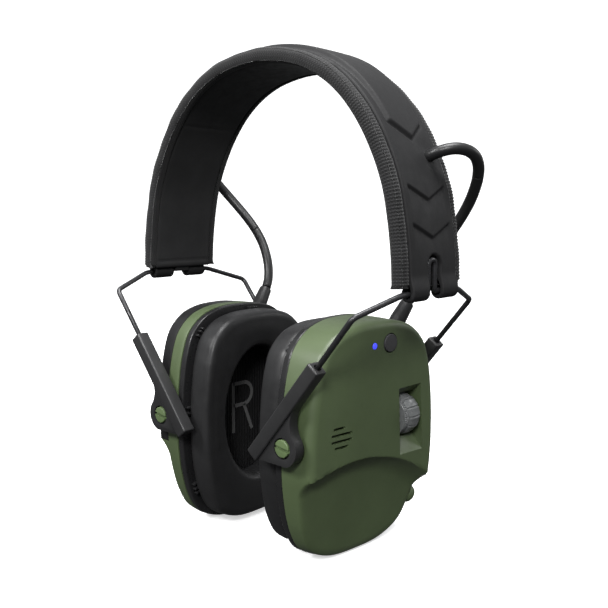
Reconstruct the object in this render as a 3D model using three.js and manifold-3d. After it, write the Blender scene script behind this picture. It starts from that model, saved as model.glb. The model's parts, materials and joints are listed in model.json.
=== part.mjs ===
// Electronic earmuff hearing protector with a padded headband, wire yokes and two cups.
// Millimetres. +X is the wearer's left, -Y the wearer's front, +Z up.
// The origin is the underside of the band's crown, where it rests on the head.
import * as THREE from 'three';
import { mergeVertices } from 'three/addons/utils/BufferGeometryUtils.js';
import Module from 'manifold-3d';

const wasm = await Module();
wasm.setup();

// ---- Driving dimensions ----
const GAP = 0.3;                 // left between pieces that touch
const CLIP_Z = -89.3;            // height of the yoke's fold axis at the band's ends
const CLIP_X = 73.9;             // half the distance between the two fold axes
const BAND_HALF = 20.5;          // half the width of the padded band
const COVER_HALF = 15.5;         // half the width of the rubber cover
const BAND_STEPS = 26;           // straight pieces that the band's curve is made of
const SLEEVE_R = 3.1;            // the cover's folded sleeves around the wire
const SLEEVE_IN = 4.5;           // sleeves run from here to SLEEVE_OUT, front and rear
const SLEEVE_OUT = 16.5;
const SLOT_TOP = 9.2;            // where the round top of the end slot begins, above the fold axis
const WIRE_R = 1.1;
const WIRE_PLAY = 0.4;           // between the wire and the bores that it turns and slides in
const HAIRPIN = { half: 2.3, top: 12 };       // the wire's loop that stands in the end slot
const LEG_Y = 40;                // the wire's legs, the arms and the pivots lie at +-LEG_Y
const BEND = [68.1, -6.7];       // where the wire turns down into its legs: x, height above the fold axis
const LEG_SLANT = THREE.MathUtils.degToRad(39);
const LEG_OUT = 25;              // leg seen between the bend and the arm
const LEG_IN = 26;               // leg inside the arm
const ARM_LENGTH = 50;
const ARM_INNER_Y = 37.2;
const ARM_OUTER_Y = 43;
const EYE_OUTER_Y = 41.8;
const ARM_HALF = 2.9;
const EYE = { along: 35.8, across: 8.4, r: 7.2 };
const SCREW = { shank: 2.2, head: 3.6, inner: 32.8, seat: 40, outer: 42.1, play: 0.35 };
const WALL = 2.2;                // moulded wall of the cups
const SLOPE = 0.12;              // the cup's outer face stands further out at the rear
const FACE_X = 50.6;             // the cup's outer face at y = 0
const SHELL_X = 31.3;            // the shell's open edge
const RING_X = [27.9, 31.0];
const PLATE_X = [26.4, 27.6];
const CUSHION_X = [15, 26.1];
const CUP_MID = -61.5;           // height of the ear opening's centre above the fold axis
const EAR_HOLE = [21, 30];       // half width, half height
const ARC = { y: -12, z: -137.5, r: 70 };       // upper edge of the recessed lower part of the shell
const RECESS = { depth: 4.1, fall: 0.17 };
// The thumb pocket: its corners on the outer face, and the slot that its sloping walls lead to.
const POCKET = { corners: [[13.8, -71.4], [28, -71.4], [26, -42.3], [12.4, -42.8]], funnel: 4.5 };
const WHEEL_SLOT = { y: [13.5, 27.3], z: [-65.3, -46.2], floor: 36.9 };
const KNOB = { x: 46.5, z: -55.7, ring: 8, drum: 9, flutes: 9 };
const BUTTON = { y: 6.6, z: -23, r: 4.4, proud: 0.5 };
const LENS = { y: -2.4, z: -23.2, r: 1.75 };
const MIC = { y: -20.5, z: -57.4, r: 4.8 };
const MIC_SLOTS = [[3.85, 3.2], [1.28, 5.6], [-1.28, 5.6], [-3.85, 3.8]];     // height, half length
const PLUG = { y: 31.5, z: -95, r: 3.6, x: 42 };
const DOOR_X = 38;               // the battery door covers the right shell from here out
const CABLE_R = 2.3;
const RELIEF = { top: [42.8, 31, -9.5], along: [0.12, 0.62, 0.78], length: 14, r: [3.5, 2.9] };

// Half of the cup's outline, from its top to its bottom: y, height above the fold axis.
const CUP_HALF = [[0, -13], [12, -13.7], [22, -16.8], [29.6, -23.5], [33.4, -33], [35.5, -45], [36.5, -60],
  [36.3, -73], [34.8, -85], [31.6, -96.5], [26, -105.5], [15, -110.8], [0, -112]];
// Half of the spring strip's line, from the band's end to its crown: x, height above the fold axis.
const BAND_LINE = [[72.7, 0], [71.9, 14], [70.2, 27], [67.2, 40.5], [61.8, 53.5], [54.2, 66], [44.6, 76.8],
  [33.6, 84.6], [20, 90], [0, 92.6]];
// The left cable, from the hole in the band's cover to the strain relief.
const CABLE_ROUTE = [[65.4, 7.7, 50], [68.6, 7.8, 51.6], [72, 9, 52.8], [75.3, 11.6, 53.6],
  [77.8, 15.6, 53.3], [78.9, 20.4, 51.6], [78.2, 25.2, 48.3], [76.2, 29, 44], [73.3, 32, 39.2],
  [69.8, 34.6, 34.3], [65.8, 36.7, 29.3], [61.4, 38.2, 24.1], [57, 38.9, 18.8], [52.8, 38.8, 13.2],
  [49, 37.7, 7.4], [45.8, 36, 1.4], [43.9, 34, -4.8], [42.92, 31.6, -8.8]];

// ---- Materials ----
const finish = (color, roughness, metalness = 0) => (
  new THREE.MeshStandardMaterial({ color, roughness, metalness }));
const olive = () => finish(0x4b583e, 0.45);
const blackPlastic = () => finish(0x1c1c1d, 0.4);
const rubber = () => finish(0x29292a, 0.7);
const fabric = () => finish(0x202021, 0.9);
const leather = () => finish(0x1d1d1e, 0.5);
const foam = () => finish(0x101011, 1);
const steel = () => finish(0x2a2a2b, 0.35, 0.8);
const silver = () => finish(0x8a8c8a, 0.4, 0.3);
const board = () => finish(0x1d4a2c, 0.6);
const lens = () => finish(0x3434d8, 0.2);

// ---- Solids ----
const strip = (geometry) => {
  const bare = geometry.clone();
  const extra = Object.keys(bare.attributes).filter((key) => key !== 'position');
  extra.forEach((key) => bare.deleteAttribute(key));
  return mergeVertices(bare, 1e-3);
};

const volumeOf = (geometry) => {
  const p = geometry.attributes.position;
  const index = geometry.index.array;
  const [a, b, c] = [new THREE.Vector3(), new THREE.Vector3(), new THREE.Vector3()];
  let sum = 0;
  for (let i = 0; i < index.length; i += 3) {
    a.fromBufferAttribute(p, index[i]);
    b.fromBufferAttribute(p, index[i + 1]);
    c.fromBufferAttribute(p, index[i + 2]);
    sum += a.dot(b.cross(c));
  }
  return sum / 6;
};

// A geometry with shared vertices and its faces pointing out.
const closed = (geometry) => {
  const g = strip(geometry);
  if (volumeOf(g) < 0) {
    const index = g.index.array;
    for (let i = 0; i < index.length; i += 3) {
      [index[i + 1], index[i + 2]] = [index[i + 2], index[i + 1]];
    }
  }
  return g;
};

const solid = (geometry) => {
  const g = closed(geometry);
  return new wasm.Manifold(new wasm.Mesh({
    numProp: 3,
    vertProperties: new Float32Array(g.attributes.position.array),
    triVerts: new Uint32Array(g.index.array),
  }));
};

const geometryOf = (manifold) => {
  const mesh = manifold.getMesh();
  const g = new THREE.BufferGeometry();
  g.setAttribute('position', new THREE.BufferAttribute(new Float32Array(mesh.vertProperties), 3));
  g.setIndex(new THREE.BufferAttribute(new Uint32Array(mesh.triVerts), 1));
  return g;
};

// Rings of equal length joined in order. Without around, both ends are capped;
// flat(ring) gives a ring's 2-D outline.
const loft = (rings, flat, around = false) => {
  const n = rings[0].length;
  const index = [];
  const last = around ? rings.length : rings.length - 1;
  for (let k = 0; k < last; k += 1) {
    const here = k * n;
    const next = ((k + 1) % rings.length) * n;
    for (let i = 0; i < n; i += 1) {
      const j = (i + 1) % n;
      index.push(here + i, here + j, next + j, here + i, next + j, next + i);
    }
  }
  if (!around) {
    const outline = flat(rings[0]);
    const { area, triangulateShape } = THREE.ShapeUtils;
    const end = (rings.length - 1) * n;
    for (const [a, b, c] of triangulateShape(outline.slice(), [])) {
      const same = area([outline[a], outline[b], outline[c]]) * area(outline) > 0;
      const [d, e] = same ? [b, c] : [c, b];
      index.push(a, e, d, end + a, end + d, end + e);
    }
  }
  const g = new THREE.BufferGeometry();
  g.setAttribute('position', new THREE.Float32BufferAttribute(rings.flat().flatMap((p) => p.toArray()), 3));
  g.setIndex(index);
  return g;
};

// A path that visits its knots at even steps, so a tube along it has one section at each knot.
class KnotPath extends THREE.Curve {
  constructor(knots) {
    super();
    this.knots = knots;
  }

  getPoint(t) {
    const s = THREE.MathUtils.clamp(t, 0, 1) * (this.knots.length - 1);
    const k = Math.min(Math.floor(s), this.knots.length - 2);
    return this.knots[k].clone().lerp(this.knots[k + 1], s - k);
  }

  getUtoTmapping(u) {
    return u;
  }
}

const circle = (r, sides) => {
  const shape = new THREE.Shape();
  for (let i = 0; i < sides; i += 1) {
    const a = (2 * Math.PI * i) / sides;
    if (i === 0) shape.moveTo(r, 0);
    else shape.lineTo(r * Math.cos(a), r * Math.sin(a));
  }
  shape.closePath();
  return shape;
};

const tube = (knots, r, sides) => new THREE.ExtrudeGeometry(circle(r, sides), {
  steps: knots.length - 1, extrudePath: new KnotPath(knots), curveSegments: 1, bevelEnabled: false,
});

const vec = (x, y, z) => new THREE.Vector3(x, y, z);
const above = (z) => z + CLIP_Z;      // a height above the fold axis, in the part's frame

// Straight runs with round corners.
const roundedKnots = (corners, r, segments = 3) => {
  const knots = [corners[0]];
  for (let i = 1; i < corners.length - 1; i += 1) {
    const c = corners[i];
    const back = corners[i - 1].clone().sub(c).setLength(r).add(c);
    const on = corners[i + 1].clone().sub(c).setLength(r).add(c);
    const bend = new THREE.QuadraticBezierCurve3(back, c, on);
    knots.push(...bend.getPoints(segments));
  }
  knots.push(corners[corners.length - 1]);
  return knots;
};

// An outline in y, z extruded along x from x0 to x1.
const plateGeometry = (shape, x0, x1) => {
  const g = new THREE.ExtrudeGeometry(shape, { depth: x1 - x0, bevelEnabled: false, curveSegments: 12 });
  g.applyMatrix4(new THREE.Matrix4().makeBasis(vec(0, 1, 0), vec(0, 0, 1), vec(1, 0, 0)));
  return g.translate(x0, 0, 0);
};

const boxFrom = (x, y, z) => {
  const g = new THREE.BoxGeometry(x[1] - x[0], y[1] - y[0], z[1] - z[0]);
  return g.translate((x[0] + x[1]) / 2, (y[0] + y[1]) / 2, (z[0] + z[1]) / 2);
};

// A turned profile of radius, distance pairs whose axis runs from the point at along the direction.
const turned = (profile, at, direction, sides = 20) => {
  const g = new THREE.LatheGeometry(profile.map(([r, d]) => new THREE.Vector2(r, d)), sides);
  g.applyQuaternion(new THREE.Quaternion().setFromUnitVectors(vec(0, 1, 0), direction.clone().normalize()));
  return g.translate(at.x, at.y, at.z);
};

const rod = (r, from, to, sides = 16) => {
  const length = from.distanceTo(to);
  return turned([[0, 0], [r, 0], [r, length], [0, length]], from, to.clone().sub(from), sides);
};

// The same piece for the other side of the head.
const mirrored = (geometry) => closed(strip(geometry).scale(-1, 1, 1));

// ---- Headband ----
const bandLine = (() => {
  const half = BAND_LINE.map(([x, z]) => vec(x, 0, above(z)));
  const other = half.slice(0, -1).reverse().map((p) => vec(-p.x, 0, p.z));
  return new THREE.CatmullRomCurve3([...half, ...other], false, 'centripetal');
})();
const bandLength = bandLine.getLength();

// A strip along the band: section(s) gives [y, outwards] pairs at the distance s from the left end.
const bandStrip = (section, start, steps = BAND_STEPS) => {
  const rings = [];
  for (let k = 0; k <= steps; k += 1) {
    const s = start + ((bandLength - 2 * start) * k) / steps;
    const p = bandLine.getPointAt(s / bandLength);
    const t = bandLine.getTangentAt(s / bandLength);
    const out = vec(t.z, 0, -t.x);
    rings.push(section(s).map(([y, h]) => p.clone().addScaledVector(out, h).setY(y)));
  }
  const outline = section(start).map(([y, h]) => new THREE.Vector2(y, h));
  return loft(rings, () => outline);
};

// Layers across the band: half widths, and how far out from the spring strip's line they lie.
const COVER = { inner: 0.9, outer: 3.2, edge: 2.6, round: 3 };
const PAD = { inner: 0.4, low: -3.4, web: [-2.4, -0.6], top: 2.7, start: 4.2 };
const LINER = { half: 16.5, low: -3.3, top: -2.7 };
const SPRING = { half: 9, low: -0.3, top: 0.6, start: 15 };
// The raised panel, its pointed ends measured along the band from the band's own ends.
const PANEL = { start: 50, point: 9, half: 9.5, base: 2.9, top: 5.2 };

const bandCover = () => {
  const h = COVER_HALF;
  const { inner, outer, edge, round } = COVER;
  const skin = bandStrip(() => [[-h, inner], [h, inner], [h, edge], [h - round, outer], [round - h, outer],
    [-h, edge]], 0);
  const panel = bandStrip((s) => {
    const fromEnd = Math.min(s, bandLength - s) - PANEL.start;
    const w = PANEL.half * THREE.MathUtils.clamp(fromEnd / PANEL.point, 0.06, 1);
    return [[-w - 0.5, PANEL.base], [w + 0.5, PANEL.base], [w, PANEL.top], [-w, PANEL.top]];
  }, PANEL.start, 22);
  let cover = solid(skin).add(solid(panel));
  for (const side of [1, -1]) {
    const x = side * CLIP_X;
    for (const end of [1, -1]) {
      const [a, b] = [SLEEVE_IN * end, SLEEVE_OUT * end];
      cover = cover.add(solid(rod(SLEEVE_R, vec(x, a, CLIP_Z), vec(x, b, CLIP_Z))));
    }
    const slotTop = above(SLOT_TOP);
    const [near, far] = [x - 6, x + 6];
    cover = cover
      .subtract(solid(rod(WIRE_R + WIRE_PLAY, vec(x, -30, CLIP_Z), vec(x, 30, CLIP_Z), 12)))
      .subtract(solid(boxFrom([near, far], [-SLEEVE_IN, SLEEVE_IN], [above(-6), slotTop])))
      .subtract(solid(rod(SLEEVE_IN, vec(near, 0, slotTop), vec(far, 0, slotTop))));
    const [hole, next] = CABLE_ROUTE.map(([px, y, z]) => vec(side * px, y, above(z)));
    const way = next.sub(hole).normalize();
    const [from, to] = [-4, 6].map((d) => hole.clone().addScaledVector(way, d));
    cover = cover.subtract(solid(rod(CABLE_R + 0.35, from, to, 12)));
  }
  return geometryOf(cover);
};

const bandPad = () => {
  const [o, i] = [BAND_HALF, COVER_HALF + PAD.inner];
  const [low, high] = PAD.web;
  const half = [[i, high], [i, 1.6], [i + 1.1, PAD.top], [o - 1.2, PAD.top], [o, 1.6], [o, -2.2],
    [o - 1, PAD.low], [o - 3.6, PAD.low], [o - 3.6, low]];
  const other = half.map(([y, h]) => [-y, h]).reverse();
  return bandStrip(() => [...half, ...other], PAD.start);
};

const flatStrip = ({ half, low, top }, start) => (
  bandStrip(() => [[-half, low], [half, low], [half, top], [-half, top]], start));
const bandLiner = () => flatStrip(LINER, PAD.start);
const bandSpring = () => flatStrip(SPRING, SPRING.start);

// ---- Yoke and arms ----
const legWay = vec(-Math.sin(LEG_SLANT), 0, -Math.cos(LEG_SLANT));
const legAcross = vec(Math.cos(LEG_SLANT), 0, -Math.sin(LEG_SLANT));
const bendAt = (end) => vec(BEND[0], end * LEG_Y, above(BEND[1]));

const yokeWire = () => {
  const leg = (end) => bendAt(end).addScaledVector(legWay, LEG_OUT + LEG_IN);
  const clip = (y, z = 0) => vec(CLIP_X, y, above(z));
  const { half, top } = HAIRPIN;
  const hairpin = [clip(-half), clip(-half, top), clip(half, top), clip(half)];
  const corners = [leg(-1), bendAt(-1), clip(-19), ...hairpin, clip(19), bendAt(1), leg(1)];
  return tube(roundedKnots(corners, 2.2), WIRE_R, 8);
};

// In the arm's own plane, u runs down the leg from the arm's top and v towards the outside of the cup.
const armShape = () => {
  const s = new THREE.Shape();
  const { along: u, across: v, r } = EYE;
  s.moveTo(0, -ARM_HALF);
  s.lineTo(ARM_LENGTH - 1, -ARM_HALF);
  s.lineTo(ARM_LENGTH, -ARM_HALF + 1);
  s.lineTo(ARM_LENGTH, ARM_HALF - 1);
  s.lineTo(u + r * Math.cos(0.95), v + r * Math.sin(0.95));
  s.absarc(u, v, r, 0.95, 2.75, false);
  s.quadraticCurveTo(u - r - 1, ARM_HALF + 1.6, u - r - 8, ARM_HALF);
  s.lineTo(0, ARM_HALF);
  s.closePath();
  return s;
};

const arm = (end) => {
  const top = bendAt(end).addScaledVector(legWay, LEG_OUT);
  const place = new THREE.Matrix4().makeBasis(legWay, legAcross, vec(0, 1, 0)).setPosition(top.x, 0, top.z);
  const slab = (shape, from, to) => {
    const g = new THREE.ExtrudeGeometry(shape, { depth: to - from, bevelEnabled: false, curveSegments: 10 });
    return solid(g.translate(0, 0, end > 0 ? from : -to).applyMatrix4(place));
  };
  const bar = new THREE.Shape([[0, -ARM_HALF], [ARM_LENGTH, -ARM_HALF], [ARM_LENGTH, ARM_HALF], [0, ARM_HALF]]
    .map(([u, v]) => new THREE.Vector2(u, v)));
  const mouth = top.clone().addScaledVector(legWay, -1);
  const blind = top.clone().addScaledVector(legWay, LEG_IN + 20.5);
  const eye = pivotAt(end);
  const deep = (y) => vec(eye.x, end * y, eye.z);
  return geometryOf(slab(armShape(), ARM_INNER_Y, EYE_OUTER_Y)
    .add(slab(bar, ARM_INNER_Y, ARM_OUTER_Y))
    .subtract(solid(rod(WIRE_R + WIRE_PLAY, mouth, blind, 12)))
    .subtract(solid(rod(SCREW.shank + SCREW.play, deep(30), deep(50), 20)))
    .subtract(solid(rod(SCREW.head + SCREW.play, deep(SCREW.seat - GAP), deep(50), 20))));
};

const pivotAt = (end) => bendAt(end).addScaledVector(legWay, LEG_OUT + EYE.along)
  .addScaledVector(legAcross, EYE.across);

const pivotScrew = (end) => {
  const at = pivotAt(end);
  const { shank, head, inner, seat, outer } = SCREW;
  const profile = [[0, inner], [shank, inner], [shank, seat], [head, seat], [head, outer - 0.4],
    [head - 0.4, outer], [0, outer]];
  const body = turned(profile, vec(at.x, 0, at.z), vec(0, end, 0));
  const slot = boxFrom([-5, 5], [outer - 0.9, outer + 1], [-0.45, 0.45]);
  slot.rotateY(0.15);
  if (end < 0) slot.rotateX(Math.PI);
  return geometryOf(solid(body).subtract(solid(slot.translate(at.x, 0, at.z))));
};

// ---- Cup ----
const cupCurve = (() => {
  const half = CUP_HALF.map(([y, z]) => vec(0, y, z));
  const other = half.slice(1, -1).reverse().map((p) => vec(0, -p.y, p.z));
  return new THREE.CatmullRomCurve3([...half, ...other], true, 'centripetal');
})();
const CUP_POINTS = 36;

// The cup's outline moved inwards, as y, height pairs.
const cupOutline = (inset, count = CUP_POINTS) => {
  const points = [];
  for (let i = 0; i < count; i += 1) {
    const p = cupCurve.getPointAt(i / count);
    const t = cupCurve.getTangentAt(i / count);
    points.push([p.y + t.z * inset, p.z - t.y * inset]);
  }
  return points;
};

const ringAt = (x, inset, slope = 0) => cupOutline(inset).map(([y, z]) => vec(x + slope * y, y, above(z)));
const flatYZ = (ring) => ring.map((p) => new THREE.Vector2(p.y, p.z));
const shapeOf = (points) => new THREE.Shape(points.map(([y, z]) => new THREE.Vector2(y, above(z))));
const oval = ([a, b], count = 28) => Array.from({ length: count }, (_, i) => {
  const angle = (2 * Math.PI * i) / count;
  return [a * Math.cos(angle), CUP_MID + b * Math.sin(angle)];
});

// The shell's outer form as x at y = 0, inset and slope, from its open edge to its outer face.
const SHELL_RINGS = [[SHELL_X, 0, 0], [38, 0.2, 0.04], [46, 0.6, 0.1], [48.3, 1.2, SLOPE], [50, 2.9, SLOPE],
  [FACE_X, 5.2, SLOPE]];

const shellForm = (thinner) => {
  const rings = SHELL_RINGS.map(([x, inset, slope], i) => {
    const open = i === 0 && thinner > 0;
    return ringAt(open ? x - 2 : x - (i > 2 ? thinner : 0), inset + thinner, slope);
  });
  return solid(loft(rings, flatYZ));
};

// Everything outside the lower, recessed part of the outer face, grown by the wall for the inside.
const recessForm = (grow) => {
  const edge = [];
  for (let i = 0; i <= 16; i += 1) {
    const a = THREE.MathUtils.lerp(0.26, Math.PI - 0.26, i / 16);
    edge.push([ARC.y + (ARC.r + grow) * Math.cos(a), ARC.z + (ARC.r + grow) * Math.sin(a)]);
  }
  const top = ARC.z + ARC.r;
  const floor = ([y, z]) => FACE_X + SLOPE * y - RECESS.depth - grow - RECESS.fall * (top - z);
  const inner = edge.map(([y, z]) => vec(floor([y, z]), y, above(z)));
  return solid(loft([inner, inner.map((p) => p.clone().setX(80))], flatYZ));
};

const pocketForm = (grow) => {
  const { y, z, floor } = WHEEL_SLOT;
  const outline = [[y[0], z[0]], [y[1], z[0]], [y[1], z[1]], [y[0], z[1]]];
  const widened = (corners) => corners.map(([cy, cz], i) => [cy + grow * [-1, 1, 1, -1][i],
    cz + grow * [-1, -1, 1, 1][i]]);
  const at = (corners, x) => widened(corners).map(([cy, cz]) => vec(x + SLOPE * cy, cy, above(cz)));
  const slotMouth = FACE_X - POCKET.funnel - grow * 0.5;
  const deep = widened(outline).map(([cy, cz]) => vec(floor - grow, cy, above(cz)));
  return solid(loft([deep, at(outline, slotMouth), at(POCKET.corners, FACE_X + 0.1),
    at(POCKET.corners, FACE_X + 12)], flatYZ));
};

const outDirection = vec(1, -SLOPE, 0).normalize();   // square to the cup's outer face
const onFace = (y, z, proud = 0) => vec(FACE_X + SLOPE * y, y, above(z)).addScaledVector(outDirection, proud);
const faceRod = (y, z, r, from, to, sides = 16) => solid(rod(r, onFace(y, z, from), onFace(y, z, to), sides));
const reliefWay = vec(...RELIEF.along).normalize();
const reliefTop = vec(RELIEF.top[0], RELIEF.top[1], above(RELIEF.top[2]));
const reliefBase = reliefTop.clone().addScaledVector(reliefWay, -RELIEF.length);

// Room for the strain relief; slide lets the piece be pulled off it outwards.
const reliefRoom = (slide = 0) => {
  const below = reliefBase.clone().addScaledVector(reliefWay, -3);
  const at = (x) => {
    const [from, to] = [below, reliefTop].map((p) => p.clone().setX(p.x - x));
    return solid(rod(RELIEF.r[0] + GAP, from, to));
  };
  return slide > 0 ? wasm.Manifold.hull([at(0), at(slide)]) : at(0);
};

// What both cups share: hollow, recessed, drilled for the pivot screws and the strain relief.
const cupShell = (extraInside = null) => {
  let inside = shellForm(WALL).subtract(recessForm(WALL));
  if (extraInside) inside = inside.subtract(extraInside);
  let shell = shellForm(0).subtract(recessForm(0)).subtract(inside);
  for (const end of [1, -1]) {
    const p = pivotAt(end);
    const [from, to] = [30, 45].map((y) => vec(p.x, end * y, p.z));
    shell = shell.subtract(solid(rod(SCREW.shank + SCREW.play, from, to, 20)));
  }
  return shell.subtract(reliefRoom());
};

const micSlots = () => MIC_SLOTS.map(([dz, half]) => {
  const [y, z] = [MIC.y, MIC.z + dz];
  return solid(boxFrom([40, 60], [y - half, y + half], [above(z - 0.35), above(z + 0.35)]));
});

const leftShell = () => {
  let shell = cupShell(pocketForm(WALL)).subtract(pocketForm(0));
  micSlots().forEach((slot) => { shell = shell.subtract(slot); });
  const shaft = (y) => vec(KNOB.x, y, above(KNOB.z));
  return geometryOf(shell
    .subtract(faceRod(BUTTON.y, BUTTON.z, BUTTON.r + 0.35, -6, 4, 20))
    .subtract(faceRod(LENS.y, LENS.z, LENS.r + GAP, -6, 4, 12))
    .subtract(solid(rod(2.9, shaft(9), shaft(15))))
    .subtract(solid(rod(PLUG.r - 0.9, ...plugLine(-8, 8))))
    .subtract(solid(rod(PLUG.r + GAP, ...plugLine(0.6 - GAP, 10)))));
};

// The part of a cup's outer face that the battery door takes up.
const doorForm = (gap) => {
  const lower = [];
  for (let i = 0; i <= 16; i += 1) {
    const a = THREE.MathUtils.lerp(2.45, 0.55, i / 16);
    lower.push([ARC.y + (ARC.r + gap) * Math.cos(a), ARC.z + (ARC.r + gap) * Math.sin(a)]);
  }
  return solid(plateGeometry(shapeOf([...lower, [60, 20], [-80, 20]]), DOOR_X + gap, 80));
};
const rightShell = () => mirrored(geometryOf(cupShell().subtract(doorForm(0))));
const batteryDoor = () => mirrored(geometryOf(cupShell().intersect(doorForm(GAP)).subtract(reliefRoom(10))));

const withHole = (outer, hole) => {
  const shape = shapeOf(outer.slice().reverse());
  shape.holes.push(new THREE.Path(hole.map(([y, z]) => new THREE.Vector2(y, above(z))).reverse()));
  return shape;
};
const baseRing = () => plateGeometry(withHole(cupOutline(0.1), oval([25, 35])), ...RING_X);
const cushionPlate = () => plateGeometry(withHole(cupOutline(4.5), oval([22.5, 31.5])), ...PLATE_X);
const foamLiner = () => plateGeometry(shapeOf(oval([24.4, 34.4])), ...RING_X);

// A padded ring: its section goes from the outline to the ear opening, with a flat face towards the head.
const cushion = () => {
  const [face, back] = CUSHION_X;
  const section = [[0.06, back], [0, back - 4], [0, face + 5], [0.05, face + 1.9], [0.16, face + 0.4],
    [0.3, face], [0.82, face], [0.93, face + 0.7], [1, face + 3.5], [1, back]];
  const [a, b] = EAR_HOLE;
  const rings = cupOutline(1.4, 36).map(([y, z]) => {
    const angle = Math.atan2((z - CUP_MID) / b, y / a);
    const [hy, hz] = [a * Math.cos(angle), CUP_MID + b * Math.sin(angle)];
    return section.map(([t, x]) => vec(x, y + (hy - y) * t, above(z + (hz - z) * t)));
  });
  return closed(loft(rings, null, true));
};

const SPEAKER = { y: -6, r: 15.5, x: [31.4, 34.8] };
const speaker = () => {
  const [from, to] = SPEAKER.x.map((x) => vec(x, SPEAKER.y, above(CUP_MID)));
  return rod(SPEAKER.r, from, to, 28);
};

const strainRelief = () => {
  const [low, high] = RELIEF.r;
  const { length } = RELIEF;
  const profile = [[0, 0], [low, 0], [low, length * 0.45], [high, length], [0, length]];
  return turned(profile, reliefBase, reliefWay, 16);
};

const cable = (side) => {
  const route = new THREE.CatmullRomCurve3(CABLE_ROUTE.map(([x, y, z]) => vec(side * x, y, above(z))));
  return tube(route.getSpacedPoints(24), CABLE_R, 10);
};

// ---- Left cup's controls ----
const volumeKnob = () => {
  const { x, z, ring, drum, flutes } = KNOB;
  const profile = [[0, 11.6], [2.5, 11.6], [2.5, 13.9], [ring, 13.9], [ring, 16.9], [drum - 0.3, 18.4],
    [drum, 20.5], [drum - 0.2, 23.2], [drum - 1, 25.1], [drum - 2.8, 26.3], [0, 26.8]];
  let knob = solid(turned(profile, vec(x, 0, above(z)), vec(0, 1, 0), 24));
  for (let i = 0; i < flutes; i += 1) {
    const a = (2 * Math.PI * i) / flutes;
    const flute = new THREE.SphereGeometry(1, 6, 4).scale(0.8, 6, 0.8);
    flute.translate(x + drum * Math.cos(a), 23, above(z) + drum * Math.sin(a));
    knob = knob.subtract(solid(flute));
  }
  return geometryOf(knob);
};

const BOARD_X = [40, 41.6];        // the circuit board's two faces
const ON_BOARD = BOARD_X[1] + GAP;
const volumePot = () => boxFrom([ON_BOARD, 48.3], [4, 11.1], [above(KNOB.z - 5), above(KNOB.z + 5)]);

const powerButton = () => {
  const { y, z, r, proud } = BUTTON;
  const profile = [[0, -4.6], [1.6, -4.6], [1.6, -2.6], [r, -2.6], [r, proud - 0.4], [r - 0.4, proud],
    [0, proud]];
  return turned(profile, onFace(y, z), outDirection, 24);
};

const buttonSwitch = () => boxFrom([ON_BOARD, 45.2], [BUTTON.y - 2.6, BUTTON.y + 2.6],
  [above(BUTTON.z - 2.6), above(BUTTON.z + 2.6)]);

const statusLens = () => {
  const { y, z, r } = LENS;
  return turned([[0, -3.4], [r, -3.4], [r, 0], [r * 0.6, 0.25], [0, 0.3]], onFace(y, z), outDirection, 12);
};

const circuitBoard = () => plateGeometry(shapeOf([[-26, -64], [2.5, -64], [2.5, -43], [9.6, -43], [9.6, -20],
  [-18, -20], [-26, -27]]), ...BOARD_X);

const microphone = () => {
  const [from, to] = [ON_BOARD, 44.6].map((x) => vec(x, MIC.y, above(MIC.z)));
  return rod(MIC.r - 0.3, from, to, 20);
};

const plugWay = vec(0.42, 0.72, -0.55).normalize();
const plugAt = vec(PLUG.x, PLUG.y, above(PLUG.z));
const plugLine = (from, to) => [from, to].map((d) => plugAt.clone().addScaledVector(plugWay, d));
const portPlug = () => {
  const { r } = PLUG;
  const profile = [[0, -3], [r - 1.3, -3], [r - 1.3, 0.6], [r, 0.6], [r, 2.4], [r - 1.2, 3.6], [0, 4]];
  return turned(profile, plugAt, plugWay, 20);
};

// ---- Right cup's battery ----
const CELL = { r: 5.25, length: 44.5, x: 41.3, mid: 2.5, y: 5.6, top: -20.4 };
const cell = (end) => {
  const y = CELL.mid + end * CELL.y;
  return rod(CELL.r, vec(-CELL.x, y, above(CELL.top - CELL.length)), vec(-CELL.x, y, above(CELL.top)), 18);
};
const batteryTray = () => {
  const [half, top, low] = [CELL.y + CELL.r + 0.4, CELL.top + 0.6, CELL.top - CELL.length - 0.6];
  const [y0, y1] = [CELL.mid - half, CELL.mid + half];
  const outer = boxFrom([-40.5, -35.1], [y0 - 1.2, y1 + 1.2], [above(low - 1.2), above(top + 1.2)]);
  const inner = boxFrom([-42, -35.9], [y0, y1], [above(low), above(top)]);
  return geometryOf(solid(outer).subtract(solid(inner)));
};

// ---- Assembly ----
const earmuff = new THREE.Group();
const add = (name, geometry, material) => {
  const mesh = new THREE.Mesh(closed(geometry), material);
  mesh.name = name;
  earmuff.add(mesh);
};

add('band_spring', bandSpring(), steel());
add('band_pad', bandPad(), fabric());
add('band_cover', bandCover(), rubber());
add('band_liner', bandLiner(), leather());

const ENDS = { front: -1, rear: 1 };
for (const [side, sign] of [['left', 1], ['right', -1]]) {
  const place = (name, geometry, material) => {
    add(`${side}_${name}`, sign > 0 ? geometry : mirrored(geometry), material);
  };
  place('yoke_wire', yokeWire(), steel());
  for (const [name, end] of Object.entries(ENDS)) {
    place(`${name}_arm`, arm(end), blackPlastic());
    place(`${name}_screw`, pivotScrew(end), olive());
  }
  place('base_ring', baseRing(), blackPlastic());
  place('cushion_plate', cushionPlate(), blackPlastic());
  place('cushion', cushion(), leather());
  place('foam_liner', foamLiner(), foam());
  place('speaker', speaker(), blackPlastic());
  place('strain_relief', strainRelief(), rubber());
  place('cable', cable(1), rubber());
}

add('left_shell', leftShell(), olive());
add('volume_knob', volumeKnob(), silver());
add('volume_pot', volumePot(), silver());
add('power_button', powerButton(), blackPlastic());
add('button_switch', buttonSwitch(), blackPlastic());
add('status_lens', statusLens(), lens());
add('circuit_board', circuitBoard(), board());
add('left_microphone', microphone(), blackPlastic());
add('port_plug', portPlug(), olive());

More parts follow.
